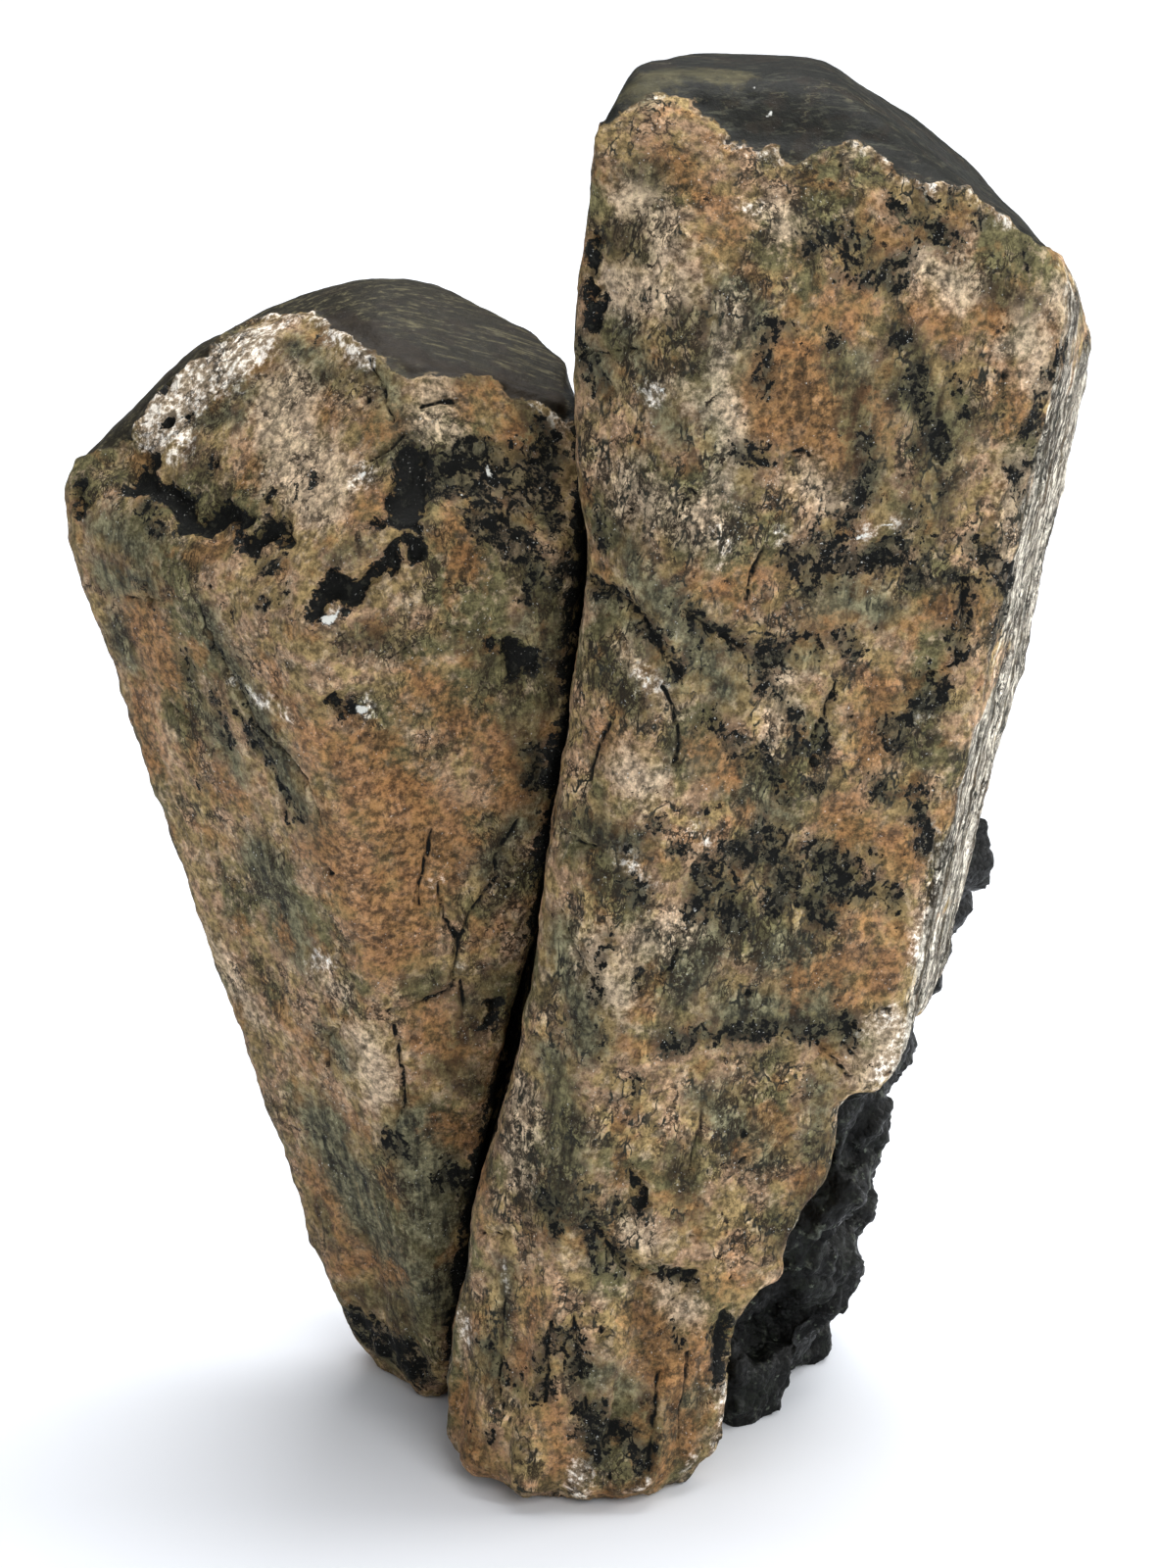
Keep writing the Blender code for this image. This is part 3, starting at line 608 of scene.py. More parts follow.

# %% [markdown]
# ## The tall crystal's black marks
# The tall crystal has little solid black, but many charred patches: around the upper right, a
# band across the upper third and a second one at half height. Deep slots split the foot, and
# two soft dark marks between its ribs are painted shade in the grooves.

# %% Black marks of the tall crystal
TALL_MIDDLE = (800, 700)
TALL_MARKS = {}
TALL_MARKS["black"] = (
    (0.4, 604,245, 601,300), (0.45, 616,298, 606,332), (0.28, 845,748, 845,758),
    (0.28, 828,764, 825,780), (0.2, 650,995, 653,1012), (0.42, 648,1200, 650,1214, 656,1230),
    (0.6, 740,1350, 742,1400),
)
TALL_MARKS["char_and_shade"] = (
    (0.5, 850,240, 862,250, 874,236), (0.35, 1044,250, 1050,270), (0.5, 944,430, 960,454),
    (0.5, 754,468, 774,464), (0.28, 1074,378, 1088,356), (0.34, 1060,404, 1054,442),
    (0.5, 966,650, 980,662), (0.58, 908,740, 934,726, 956,712), (0.62, 766,660, 796,668),
    (0.24, 720,730, 735,746, 750,762), (0.22, 770,762, 786,780, 800,796, 804,815),
    (0.62, 906,914, 914,926), (0.38, 645,904, 650,914), (0.5, 870,1046, 874,1062),
    # The second and third marks below are painted shade in the grooves between the foot's ribs.
    (0.26, 626,1232, 630,1232), (0.42, 558,1366, 554,1408, 548,1428), (0.42, 580,1362, 586,1396),
    (0.35, 506,1402, 522,1410), (0.28, 492,1368, 508,1390), (0.75, 596,1440, 616,1476),
    (0.75, 626,1460, 654,1486), (0.45, 864,262, 878,278), (0.4, 904,270, 926,264),
    (0.3, 884,292, 916,288), (0.45, 948,226, 966,236), (0.3, 928,252, 952,244),
    (0.25, 936,205, 968,206), (0.22, 984,214, 1006,223), (0.3, 819,238, 826,252),
    (0.28, 914,198, 920,212), (0.28, 800,330, 809,342), (0.25, 790,345, 786,351),
    (0.22, 984,418, 988,428), (0.28, 972,384, 980,402), (0.28, 918,346, 922,358),
    (0.26, 848,342, 854,350), (0.26, 1062,462, 1048,474), (0.75, 812,572, 835,561, 856,545),
    (0.7, 814,582, 850,575, 892,568, 912,564), (0.38, 846,546, 868,524, 892,510),
    (0.32, 818,602, 852,592), (0.25, 908,566, 930,590, 958,580, 985,592, 1012,600),
    (0.38, 938,538, 945,556), (0.28, 940,514, 942,526), (0.22, 952,495, 955,506),
    (0.28, 985,604, 984,640), (0.42, 946,690, 962,700), (0.3, 916,746, 920,758),
    (0.42, 860,648, 872,666), (0.32, 826,652, 836,666), (0.28, 824,796, 836,802),
    (0.3, 894,800, 900,806), (0.35, 934,802, 942,830, 946,862),
    (0.7, 786,852, 800,868, 762,872, 724,888), (0.85, 838,872, 860,890, 850,908),
    (0.6, 800,902, 792,928), (0.65, 845,918, 884,914), (0.52, 722,914, 710,930),
    (0.5, 742,902, 750,938), (0.4, 816,922, 845,934), (0.28, 880,868, 892,882),
    (0.2, 638,870, 642,872), (0.22, 662,905, 664,908), (0.25, 682,872, 690,870),
    (0.18, 674,838, 676,842), (0.2, 722,830, 724,833), (0.26, 645,1112, 650,1100),
    (0.55, 562,1230, 566,1262), (0.38, 598,1220, 606,1242), (0.34, 604,1272, 614,1290),
    (0.26, 478,1452, 496,1466), (0.22, 690,1356, 694,1368),
    (0.28, 600,592, 624,602, 650,626, 672,655, 696,690),
    (0.38, 698,622, 726,646, 760,658, 800,664, 820,650), (0.3, 722,732, 750,762, 786,780, 804,812),
    (0.22, 855,700, 842,732, 832,760), (0.5, 1000,556, 1030,596, 1022,640),
    (0.35, 1030,470, 1044,520), (0.35, 776,330, 784,372, 778,410), (0.3, 884,440, 888,500),
    (0.4, 936,380, 944,420), (0.35, 590,350, 600,380, 618,400), (0.3, 604,520, 616,560),
    (0.3, 770,690, 800,720, 812,760), (0.4, 690,1062, 760,1052, 820,1060, 868,1046),
    (0.24, 600,1245, 634,1288, 670,1300, 706,1304), (0.3, 620,960, 612,1010, 618,1060),
)
TALL_MARKS["umber"] = (
    (0.6, 632,240, 654,228), (0.8, 648,252, 626,254), (0.7, 650,172, 664,182),
    (1.0, 880,250, 905,285), (0.9, 940,215, 955,240), (0.8, 690,330, 715,325),
    (1.6, 930,390, 970,440), (1.0, 850,360, 872,430, 882,470), (1.2, 930,360, 960,470, 950,520),
    (0.8, 1020,300, 1050,310), (0.6, 655,655, 700,700), (0.9, 610,690, 650,720),
    (1.2, 780,880, 840,940), (1.2, 720,900, 760,940), (0.7, 610,900, 640,905),
    (0.8, 580,830, 610,850), (0.9, 690,1180, 698,1230), (1.0, 570,1100, 580,1180, 565,1250),
    (0.6, 665,1430, 668,1500), (0.9, 600,1440, 640,1490),
    (0.6, 700,620, 712,632, 726,645, 742,650), (0.8, 690,1060, 770,1050, 860,1048),
    (1.1, 840,1170, 850,1230, 800,1260), (0.5, 690,680, 705,690), (0.6, 480,1470, 500,1495),
    (0.7, 510,1340, 500,1395), (0.6, 905,800, 935,830),
)
print("black marks:", {kind: len(marks) for kind, marks in TALL_MARKS.items()})

# %% [markdown]
# ## The tall crystal's colours
# The crust is tan with orange clouds, and a grey-green strip runs down left of the middle. The
# ribs of the foot are rusty. The pale rim of the bare top and the broken lower right edge are
# the brightest places, and some small pale marks on the front are painted glints.

# %% Colours of the tall crystal
TALL_MARKS["rust"] = (
    (0.8, 686,165, 700,182), (0.7, 746,210, 742,246), (0.5, 814,248, 816,254),
    (1.1, 842,320, 872,330), (1.0, 940,312, 964,332), (1.0, 1010,330, 1040,302),
    (2.6, 800,405, 860,440), (1.5, 826,362, 790,372), (0.8, 1040,400, 1034,430),
    (0.5, 1066,370, 1062,376), (0.8, 766,592, 742,602), (0.5, 798,580, 804,584),
    (0.5, 838,630, 842,634), (1.2, 900,700, 890,762), (1.0, 960,622, 992,622),
    (1.0, 728,762, 742,782), (0.8, 618,760, 642,770), (1.2, 858,832, 882,850),
    (1.2, 908,860, 922,882), (0.8, 880,940, 884,944), (1.1, 902,980, 880,1012),
    (0.9, 815,1000, 862,985), (1.6, 662,1350, 692,1402), (1.0, 710,1368, 716,1380),
    (0.8, 738,1310, 742,1316), (1.5, 476,1440, 490,1496), (0.8, 562,1440, 570,1500),
    (0.6, 690,1340, 684,1480), (0.8, 528,1384, 532,1390), (0.7, 610,1538, 642,1534),
    (0.9, 820,1212, 826,1220), (0.8, 545,1330, 540,1350), (1.0, 680,1500, 700,1460),
)
TALL_MARKS["moss"] = (
    (1.2, 650,84, 700,70, 745,72), (1.1, 745,300, 740,350, 735,400, 740,450, 745,500),
    (0.9, 766,322, 762,380, 756,422), (0.8, 640,340, 662,382, 690,442), (0.8, 600,360, 612,384),
    (0.7, 738,558, 742,562), (0.9, 640,560, 672,606), (1.1, 870,370, 886,420, 886,500),
    (1.2, 930,400, 962,440), (1.0, 900,620, 870,610, 840,620), (1.5, 800,975, 838,1010),
    (1.4, 720,960, 700,1002), (1.4, 750,1030, 850,1040), (1.3, 572,960, 590,1022, 600,1062),
    (1.1, 560,1080, 580,1150, 575,1222), (0.8, 496,1380, 502,1400), (0.7, 516,1300, 510,1350),
    (0.8, 600,1400, 642,1420), (1.2, 700,1420, 690,1462), (1.0, 650,590, 700,640, 740,710),
    (0.45, 610,606, 646,640, 690,700), (0.45, 700,640, 760,680, 830,670),
    (0.8, 700,760, 760,800, 800,840), (1.0, 600,850, 640,860), (0.9, 720,1120, 780,1180),
    (0.6, 840,1110, 830,1180),
)
# Pale crust at the rim and broken edge, and some small marks that are painted glints.
TALL_MARKS["pale_and_glint"] = (
    (0.3, 870,145, 905,162, 925,177, 945,192, 975,190, 1000,207),
    (0.3, 1000,207, 1020,220, 1034,232), (0.28, 672,86, 674,90), (0.34, 722,112, 736,118),
    (0.34, 742,137, 758,144), (0.34, 788,142, 786,158), (0.28, 824,160, 828,164),
    (0.22, 767,210, 770,212), (0.35, 660,400, 666,404), (0.3, 732,545, 738,562),
    (0.45, 788,548, 794,552), (0.34, 884,544, 912,540), (0.36, 656,686, 666,700),
    (0.28, 716,846, 722,852), (0.42, 634,874, 644,884), (0.32, 662,896, 668,904),
    (0.22, 944,732, 952,728), (0.42, 944,852, 960,868), (0.5, 962,872, 955,922, 945,952),
    (0.5, 950,942, 938,982), (0.45, 876,1062, 906,1036), (0.6, 930,1040, 922,1072, 900,1098),
    (0.28, 514,1302, 516,1310), (0.5, 470,1345, 474,1362), (0.32, 716,1492, 700,1506),
    (0.32, 650,1522, 662,1516), (0.5, 592,1505, 590,1526), (0.22, 742,1375, 738,1430, 728,1482),
)
TALL_MARKS["bloom"] = (
    (0.9, 1048,320, 1066,390), (0.8, 960,905, 950,940), (0.55, 745,320, 738,380, 742,440, 748,490),
    (0.9, 940,270, 985,300), (0.9, 1040,470, 1030,560), (1.5, 640,500, 720,540),
    (1.2, 650,200, 680,250), (0.9, 788,214, 802,232), (1.3, 626,292, 690,300),
    (0.45, 680,392, 702,402), (0.45, 640,660, 684,722), (0.9, 1080,302, 1100,332),
    (1.1, 640,780, 662,802), (1.1, 600,960, 632,1012), (1.2, 900,1050, 912,1072, 890,1092),
    (1.1, 530,1120, 530,1192), (0.7, 702,1340, 680,1320), (0.7, 640,1252, 660,1270),
    (0.9, 820,490, 850,510), (0.8, 1040,350, 1060,330), (0.9, 700,950, 650,960),
    (0.8, 800,700, 790,760),
)
# Painted glint spots: single bright points, painted highlights where small faces catch the light.
TALL_MARKS["painted_glint_spot"] = (
    (0.13, 768,84, 771,94), (0.15, 783,113), (0.09, 912,157, 918,161), (0.09, 766,210),
    (0.12, 676,396, 690,404), (0.16, 880,544, 908,541), (0.12, 788,552), (0.1, 656,688, 662,698),
    (0.1, 716,848), (0.12, 638,878), (0.08, 948,730),
)
print("strokes of rust:", len(TALL_MARKS["rust"]))

# %% [markdown]
# ## The tall crystal's cracks
# Two dark veins curve across the front. Below them the cracks are short and thin, until they
# run down between the ribs of the foot.

# %% Cracks of the tall crystal
TALL_MARKS["crack"] = (
    (0.16, 600,592, 624,602, 650,626, 672,655, 684,675, 696,690),
    (0.13, 698,622, 712,633, 726,646, 744,651, 760,660), (0.12, 855,700, 842,732, 832,752),
    (0.12, 830,1060, 846,1074, 860,1090, 868,1102),
    (0.12, 600,1245, 616,1262, 634,1288, 660,1300, 704,1304), (0.12, 664,1290, 690,1298, 712,1302),
    (0.1, 712,1300, 700,1318, 686,1330), (0.1, 590,360, 620,360, 655,354),
    (0.14, 782,560, 768,590, 764,614), (0.12, 804,468, 820,460, 832,470),
    (0.12, 560,850, 584,856, 604,866), (0.12, 570,930, 580,960, 606,1004, 624,1040),
    (0.12, 694,970, 686,990, 670,1000), (0.12, 690,780, 696,760, 688,720, 676,700),
    (0.14, 622,735, 606,765, 600,800), (0.1, 985,590, 986,640, 975,680, 950,690),
    (0.1, 640,520, 700,500, 706,500), (0.1, 690,540, 700,515, 712,505),
    (0.12, 1000,830, 960,870, 946,950), (0.12, 870,1050, 905,1030, 940,1020),
    (0.12, 864,1066, 876,1084, 878,1106), (0.1, 720,1130, 714,1160, 706,1190),
    (0.1, 490,1260, 520,1258), (0.16, 672,1400, 666,1440, 660,1500), (0.16, 562,1350, 556,1430),
    (0.14, 586,1345, 592,1400, 600,1440), (0.12, 622,1390, 628,1460, 622,1510),
    (0.13, 512,1325, 504,1400, 512,1440), (0.12, 702,1380, 694,1480),
)
TALL_MARKS["rim"] = (
    (0.1, 870,143, 905,160, 945,190, 975,188, 1000,205, 1034,230),
)
print("marks on the tall crystal:", {kind: len(marks) for kind, marks in TALL_MARKS.items()})

# %% [markdown]
# ## Where the bare tops end
# On both crystals the crust stops at a ragged line, and above it the dark crystal top is bare.
# The line is drawn like a mark. Each point of the skin is then measured against it: how far it
# lies above the line, along a direction that leans back with the tops, so that the same line
# also holds on the hidden side.

# %% Height above the crust's upper edge
SHORT_TOP_LINE = (
    (88, 462), (104, 458), (127, 453), (136, 436), (152, 415), (170, 392), (215, 353),
    (262, 323), (300, 321), (322, 317), (338, 334), (360, 345), (385, 362), (402, 382),
    (416, 388), (440, 380), (470, 386), (500, 388), (520, 402), (545, 408), (572, 424),
)
TALL_TOP_LINE = (
    (620, 125), (632, 112), (652, 98), (672, 92), (684, 98), (700, 97), (712, 104),
    (722, 118), (736, 124), (748, 144), (772, 150), (784, 146), (792, 147), (802, 158),
    (812, 166), (822, 158), (838, 152), (862, 146), (884, 150), (906, 164), (928, 184),
    (950, 190), (976, 188), (1000, 203), (1022, 219), (1040, 233), (1062, 252),
)
TOP_LEAN = math.radians(20)


def leaning_height(rows):
    """Height measured along a line that leans back by TOP_LEAN."""
    return rows[:, 2] * math.cos(TOP_LEAN) + rows[:, 1] * math.sin(TOP_LEAN)


def above_line(skin, line, middle, rows):
    """How many mm each point lies above the edge of the crust."""
    edge = [seen_at(skin, pixel, middle) for pixel in line]
    edge = np.array([place for place in edge if place is not None])
    order = np.argsort(edge[:, 0])
    edge_heights = np.interp(rows[:, 0], edge[order, 0], leaning_height(edge[order]))
    return np.clip(leaning_height(rows) - edge_heights, FAR, -FAR)


print("top lines of", len(SHORT_TOP_LINE), "and", len(TALL_TOP_LINE), "points")

# %% [markdown]
# ## Ragged edges, streaks and gaps
# Marks are smooth bands, and real edges are ragged, so the points are shifted about by noise
# before they are measured against a mark. Streaks come from noise on points that are squeezed
# along the crystal. The seam is known by how near the other crystal is.

# %% Ragged edges, streaks and gaps
RAGGED = ((1.7, 0.42, 11), (0.7, 0.20, 12))     # lumps and shift in mm, and seed
SLIGHTLY_RAGGED = ((0.9, 0.12, 14),)
CRUMBLING = ((1.2, 0.35, 15), (0.5, 0.2, 19))
PIT_SHIFT = ((0.8, 0.25, 17),)
STREAK_STRETCH = 7.0
WIDEST_GAP = 3.0                # mm; a gap is not measured further than this
SHORT_AXIS = Vector((-7.0, -4.0, 60.0)).normalized()
TALL_AXIS = Vector((12.5, -0.5, 75.0)).normalized()


def shifted(rows, shifts):
    """The points shifted about by smooth noise, so that plain marks get ragged edges."""
    moved = rows
    for size, amount, seed in shifts:
        moved = moved + wander(rows, size, seed) * amount
    return moved


def drawn_out(rows, axis):
    """The points squeezed along an axis, so that noise on them comes out as streaks."""
    axis = np.array(axis)
    return rows - np.outer(rows @ axis, axis) * (1.0 - 1.0 / STREAK_STRETCH)


def tree_of(stone):
    """A search tree of a stone's faces."""
    mesh = stone.data
    return BVHTree.FromPolygons([vert.co for vert in mesh.vertices],
                                [tuple(face.vertices) for face in mesh.polygons])


def gap_to(other, rows):
    """Distance in mm from every point to another stone's surface."""
    tree = tree_of(other)
    found = (tree.find_nearest(Vector(row) * MM, WIDEST_GAP * MM)[3] for row in rows)
    return np.array([WIDEST_GAP if distance is None else distance / MM for distance in found])


print("the tall crystal leans", round(math.degrees(TALL_AXIS.angle(Vector((0, 0, 1))))), "degrees")

# %% [markdown]
# ## The fields of a crystal
# Every kind of mark becomes a field that is stored on the skin, and so does the bare top. On
# the hidden back no marks are listed, so noise places patches of the same kinds there.
# Where the two crystals nearly touch, the seam is painted black: painted shade in the crevice
# between them.

# %% Gather the fields
HIDDEN_PATCHES = {              # size in mm, and how much of the noise is left out
    "black": (5.0, 0.70),
    "char_and_shade": (5.5, 0.50),
    "umber": (5.0, 0.40),
    "rust": (6.0, 0.15),
    "moss": (5.0, 0.20),
    "bloom": (4.0, 0.25),
    "pale_and_glint": (3.0, 0.70),
}
FINE_LINES = ("crack", "rim")   # kinds whose edges wander only slightly
PATCH_SLOPE = 0.6               # how fast a patch of the noise deepens, against its size
BACK_FACES = (0.0, 0.35)        # outward directions between the front and the back
# Painted shade: points this near the other crystal are painted black, as shade in the seam.
SEAM_SHADE_REACH = 1.0                # mm; points this near the other crystal are black


def hidden_patches(rows, facing_back, size, level, seed):
    """Patches that noise lays on the back, as a field like those of the marks."""
    patch = (rough_grain(rows, size, seed) - level) * size * PATCH_SLOPE
    return np.clip(patch + FAR * (1.0 - facing_back), FAR, -FAR)


def fields_of(skin, other, marks, top_line, middle):
    """Every field of a crystal: the marks, the bare top and the painted shade of the seam."""
    rows = places[skin.name]
    ragged, slightly = shifted(rows, RAGGED), shifted(rows, SLIGHTLY_RAGGED)
    fields = {kind: inside_marks(skin, strokes, middle, slightly if kind in FINE_LINES else ragged)
              for kind, strokes in marks.items()}
    fields["top"] = above_line(skin, top_line, middle, shifted(rows, CRUMBLING))
    hidden = ramp(*BACK_FACES, outward[skin.name][:, 1]) * ramp(0.3, -0.3, fields["top"])
    for number, (kind, (size, level)) in enumerate(HIDDEN_PATCHES.items()):
        patches = hidden_patches(rows, hidden, size, level, 40 + number)
        fields[kind] = np.maximum(fields[kind], patches)
    fields["hollow"] = fields["black"] + 0.3 * grain(rows, 0.6, 23)
    fields["gap"] = gap_to(other, rows)
    # The seam's painted shade joins the black field.
    seam_shade = SEAM_SHADE_REACH + 0.35 * grain(rows, 1.5, 16) - fields["gap"]
    fields["black"] = np.maximum(fields["hollow"], seam_shade)
    return fields


print("patches on the back:", ", ".join(HIDDEN_PATCHES))

# %% [markdown]
# ## Relief from the fields
# The relief follows the fields. Black marks sink in with steep ragged sides, cracks are narrow
# grooves, and the bare top lies lower than the crust around it, whose rim stands up. Over all
# of that go lumps of three sizes and scattered pits, weaker on the smooth tops. Near the foot
# the crystals are ribbed lengthwise. Where they nearly touch, the seam is filled a little and
# takes no relief, so that they don't cut into each other.

# %% Turn fields into relief
LUMPS = ((3.2, 0.13), (1.3, 0.075), (0.6, 0.05))        # size and height of the crust's lumps
SETTLE = 0.05                   # mm; the skin starts this far inside the solid
TOP_DEPTH, TOP_EDGE = 0.20, (-0.08, 0.15)       # mm; an edge is where a field sets in
TOP_CALM = 0.65                 # share of the lumps and pits that a bare top is spared
HOLLOW_DEPTH, HOLLOW_EDGE = 0.50, (-0.05, 0.22)
CHAR_DEPTH, CHAR_ROUGH, CHAR_EDGE = 0.10, 0.16, (-0.3, 0.4)
CRACK_DEPTH, CRACK_EDGE = 0.34, (-0.16, 0.10)
RIM_HEIGHT, RIM_WIDTH = 0.22, 0.32
FLUTE_SIZE, FLUTE_HEIGHT = 0.7, 0.14
RIB_SIZE, RIB_HEIGHT = 1.9, 0.55
RIB_TOP, RIB_BLEND = 13.0, 4.0  # mm; the ribs begin below this height, over that much
PIT_SPACING, PIT_DEPTH, PIT_EDGE = 2.1, 0.26, (0.12, -0.10)
PIT_RADIUS, PIT_VARIES, LARGEST_PIT = 0.04, 0.26, 0.3
TOUCHING = (0.3, 1.2)           # gaps in mm with no relief and with all of it
MOST_CRUST = 0.35               # mm above the solid
SEAM_SHARE, SEAM_FILL = 0.45, 0.25      # share of the gap that is filled, and the most in mm
STANDING = 0.3                  # mm; points this low keep their height


def held(rows, moved):
    """Moved points that still stand on the floor and stay in the box of the solids."""
    standing = rows[:, 2] < STANDING
    moved[standing, 2] = rows[standing, 2]
    return boxed(moved)


def pits_in(rows):
    """How far outside the nearest pit each point lies, in mm."""
    distance, _, numbers = cells(shifted(rows, PIT_SHIFT), PIT_SPACING, 18)
    return distance - np.clip(PIT_RADIUS + PIT_VARIES * numbers[:, 0], 0.0, LARGEST_PIT)


def weathered(skin, fields, axis):
    """Moves the points of a crystal's skin to give it crust, hollows, cracks and pits."""
    rows = places[skin.name]
    on_top = ramp(*TOP_EDGE, fields["top"])
    apart = ramp(*TOUCHING, fields["gap"])
    in_hollow = ramp(*HOLLOW_EDGE, fields["hollow"]) * apart
    rough = 1.0 - TOP_CALM * on_top
    height = -SETTLE - TOP_DEPTH * on_top - HOLLOW_DEPTH * in_hollow
    for number, (size, lump) in enumerate(LUMPS):
        height += lump * rough * rough_grain(rows, size, 20 + number, layers=2)
    char_and_shade_share = ramp(*CHAR_EDGE, fields["char_and_shade"])
    height -= char_and_shade_share * (CHAR_DEPTH + CHAR_ROUGH * rough_grain(rows, 0.9, 26))
    height += fields["side"] * FLUTE_HEIGHT * grain(drawn_out(rows, axis), FLUTE_SIZE, 25)
    ribs = grain(drawn_out(rows, axis), RIB_SIZE, 27)
    height += RIB_HEIGHT * rough * (ribs * ramp(RIB_TOP, RIB_TOP - RIB_BLEND, rows[:, 2]))
    height -= CRACK_DEPTH * ramp(*CRACK_EDGE, fields["crack"])
    height += RIM_HEIGHT * np.exp(-(np.minimum(fields["rim"], 0.0) / RIM_WIDTH) ** 2)
    height -= PIT_DEPTH * rough * ramp(*PIT_EDGE, fields["pit"])
    height = apart * np.minimum(height, MOST_CRUST)
    height += (1.0 - apart) * np.minimum(SEAM_SHARE * fields["gap"], SEAM_FILL)
    return held(rows, rows + outward[skin.name] * height[:, None])


print("relief from", -HOLLOW_DEPTH, "to", MOST_CRUST, "mm")

# %% [markdown]
# ## Shaping the two crystals
# Each crystal also has one face of its own: the tall one's right side is fluted along its
# length, and the short one's left side is faintly streaked. Both crystals are measured against
# each other before either is changed, and then their points are moved.

# %% Shape the crystals
TALL_FACE = (0.45, 0.92)        # outward directions from beside the face to square on it
SHORT_FACE = (0.55, 0.85)
FLUTES_END = (73.0, 62.0)       # mm; heights over which the flutes fade in from above
FLUTES_BEGIN = (16.0, 27.0)     # and from below
FAINT = 0.45


def tall_side(rows, out):
    """The tall crystal's right face is fluted along its length, here more and there less."""
    heights = rows[:, 2] + 9.0 * grain(rows, 7.0, 71)
    worn = ramp(0.62, 0.30, rough_grain(rows, 6.0, 72))
    return (ramp(*TALL_FACE, out[:, 0]) * ramp(*FLUTES_END, heights)
            * ramp(*FLUTES_BEGIN, heights) * (FAINT + (1.0 - FAINT) * worn))


def short_side(rows, out):
    """The short crystal's left face is only faintly streaked."""
    return FAINT * ramp(*SHORT_FACE, -out[:, 0])


def finish_shape(skin, other, marks, top_line, middle, axis, side):
    """Stores the fields of one crystal and returns its moved points."""
    rows = places[skin.name]
    fields = fields_of(skin, other, marks, top_line, middle)
    fields["side"] = side(rows, outward[skin.name])
    fields["pit"] = pits_in(rows)
    moved = weathered(skin, fields, axis)
    fields["pit"] = np.clip(-fields["pit"], FAR, -FAR)
    for kind, field in fields.items():
        if kind not in ("hollow", "gap"):
            keep(skin, kind, field)
    return moved


short_moved = finish_shape(short, tall, SHORT_MARKS, SHORT_TOP_LINE, SHORT_MIDDLE,
                           SHORT_AXIS, short_side)
tall_moved = finish_shape(tall, short, TALL_MARKS, TALL_TOP_LINE, TALL_MIDDLE,
                          TALL_AXIS, tall_side)
set_places(short, short_moved)
set_places(tall, tall_moved)
print("the skins moved by up to",
      round(float(np.abs(tall_moved - places[tall.name]).max()), 2), "mm")

# %% [markdown]
# ## Breaking up the black rock
# The rock is a coarse dark ore: blocky grains a millimetre or two across, each with its own
# level, and rough all over. Cells give the blocks. Each cell stands a little higher or lower
# than its neighbour, and the joints between cells are grooves. Sharp ridges come from noise
# folded at its middle value, and their height is stored for the finish, which paints the crests
# greyer as a painted highlight.
# A thin tongue of the rock leans on the tall crystal, so its points are moved over to touch it.

# %% Shape the rock
BLOCKS = ((2.6, 0.34, 0.12), (1.1, 0.16, 0.08))   # size, step and joint depth of the blocks
CRAGS = ((3.4, 0.60), (1.5, 0.24), (0.7, 0.10))   # size and height of the sharp ridges
CRAG_LEVEL = 0.35               # the fold of noise, from -1 to 1, that stays where it is
TONGUE_FOOT = 24.0              # mm; above this height the rock is a thin tongue
TONGUE_BLEND = 6.0              # mm below it in which the points start to move over
TONGUE_GAP = 7.0                # mm; the widest gap behind the tongue that is filled
TONGUE_CALM, TONGUE_SWELL = 0.25, 0.10          # it is smoother, and thicker in mm
TONGUE_REACH = 0.97             # share of that gap that is filled


def leant_on(rows, out, other):
    """Points of the tongue that face the crystal across a gap, moved over to touch it."""
    tree = tree_of(other)
    moved = rows.copy()
    for number in np.nonzero(rows[:, 2] > TONGUE_FOOT - TONGUE_BLEND)[0]:
        touch = tree.find_nearest(Vector(rows[number]) * MM, TONGUE_GAP * MM)[0]
        if touch is not None:
            step = np.array(touch) / MM - rows[number]
            towards = step @ out[number] / max(np.linalg.norm(step), NO_LENGTH)
            moved[number] += step * TONGUE_REACH * ramp(-0.1, 0.4, towards)
    return moved


def broken(skin, other):
    """Moves the rock's points into blocks and grains."""
    rows = leant_on(places[skin.name], outward[skin.name], other)
    height = np.full(len(rows), -SETTLE)
    for number, (size, step, joint) in enumerate(BLOCKS):
        bent = rows + wander(rows, size, 50) * 0.25 * size
        near, second, numbers = cells(bent, size, 51 + number)
        height += step * numbers[:, 1] * ramp(0.0, 0.25 * size, second - near)
        height -= joint * ramp(0.2 * size, 0.0, second - near)
    crest = np.zeros(len(rows))
    for number, (size, crag) in enumerate(CRAGS):
        crest += crag * (CRAG_LEVEL - np.abs(grain(rows, size, 60 + number)))
    height += crest
    thin = ramp(TONGUE_FOOT - 2.0, TONGUE_FOOT, rows[:, 2])
    height = height * (1.0 - TONGUE_CALM * thin) + TONGUE_SWELL * thin
    keep(skin, "ridge", crest)
    return held(rows, rows + outward[skin.name] * height[:, None])


set_places(rock, broken(rock, tall))
print("rock points:", len(places[rock.name]))

# %% [markdown]
# ## Mixing finishes from nodes
# A mineral's colour is a stack of layers, each with a share from 0 to 1 that says where it
# covers the one below. The helpers below add one node each and hand on its socket, so that a
# finish reads as a recipe. Sizes are in mm, because the first node turns the object's own
# coordinates into mm. The finish that is being mixed lies on a bench, so that a helper needn't
# be told which one it adds to.

# %% Colours, nodes and sums
bench = SimpleNamespace(tree=None)


def paint(red, green, blue):
    """A colour given as 0 to 255 on a screen, as the shader's light values."""
    return tuple(((level / 255 + 0.055) / 1.055) ** 2.4 if level > 10 else level / 3295
                 for level in (red, green, blue)) + (1.0,)


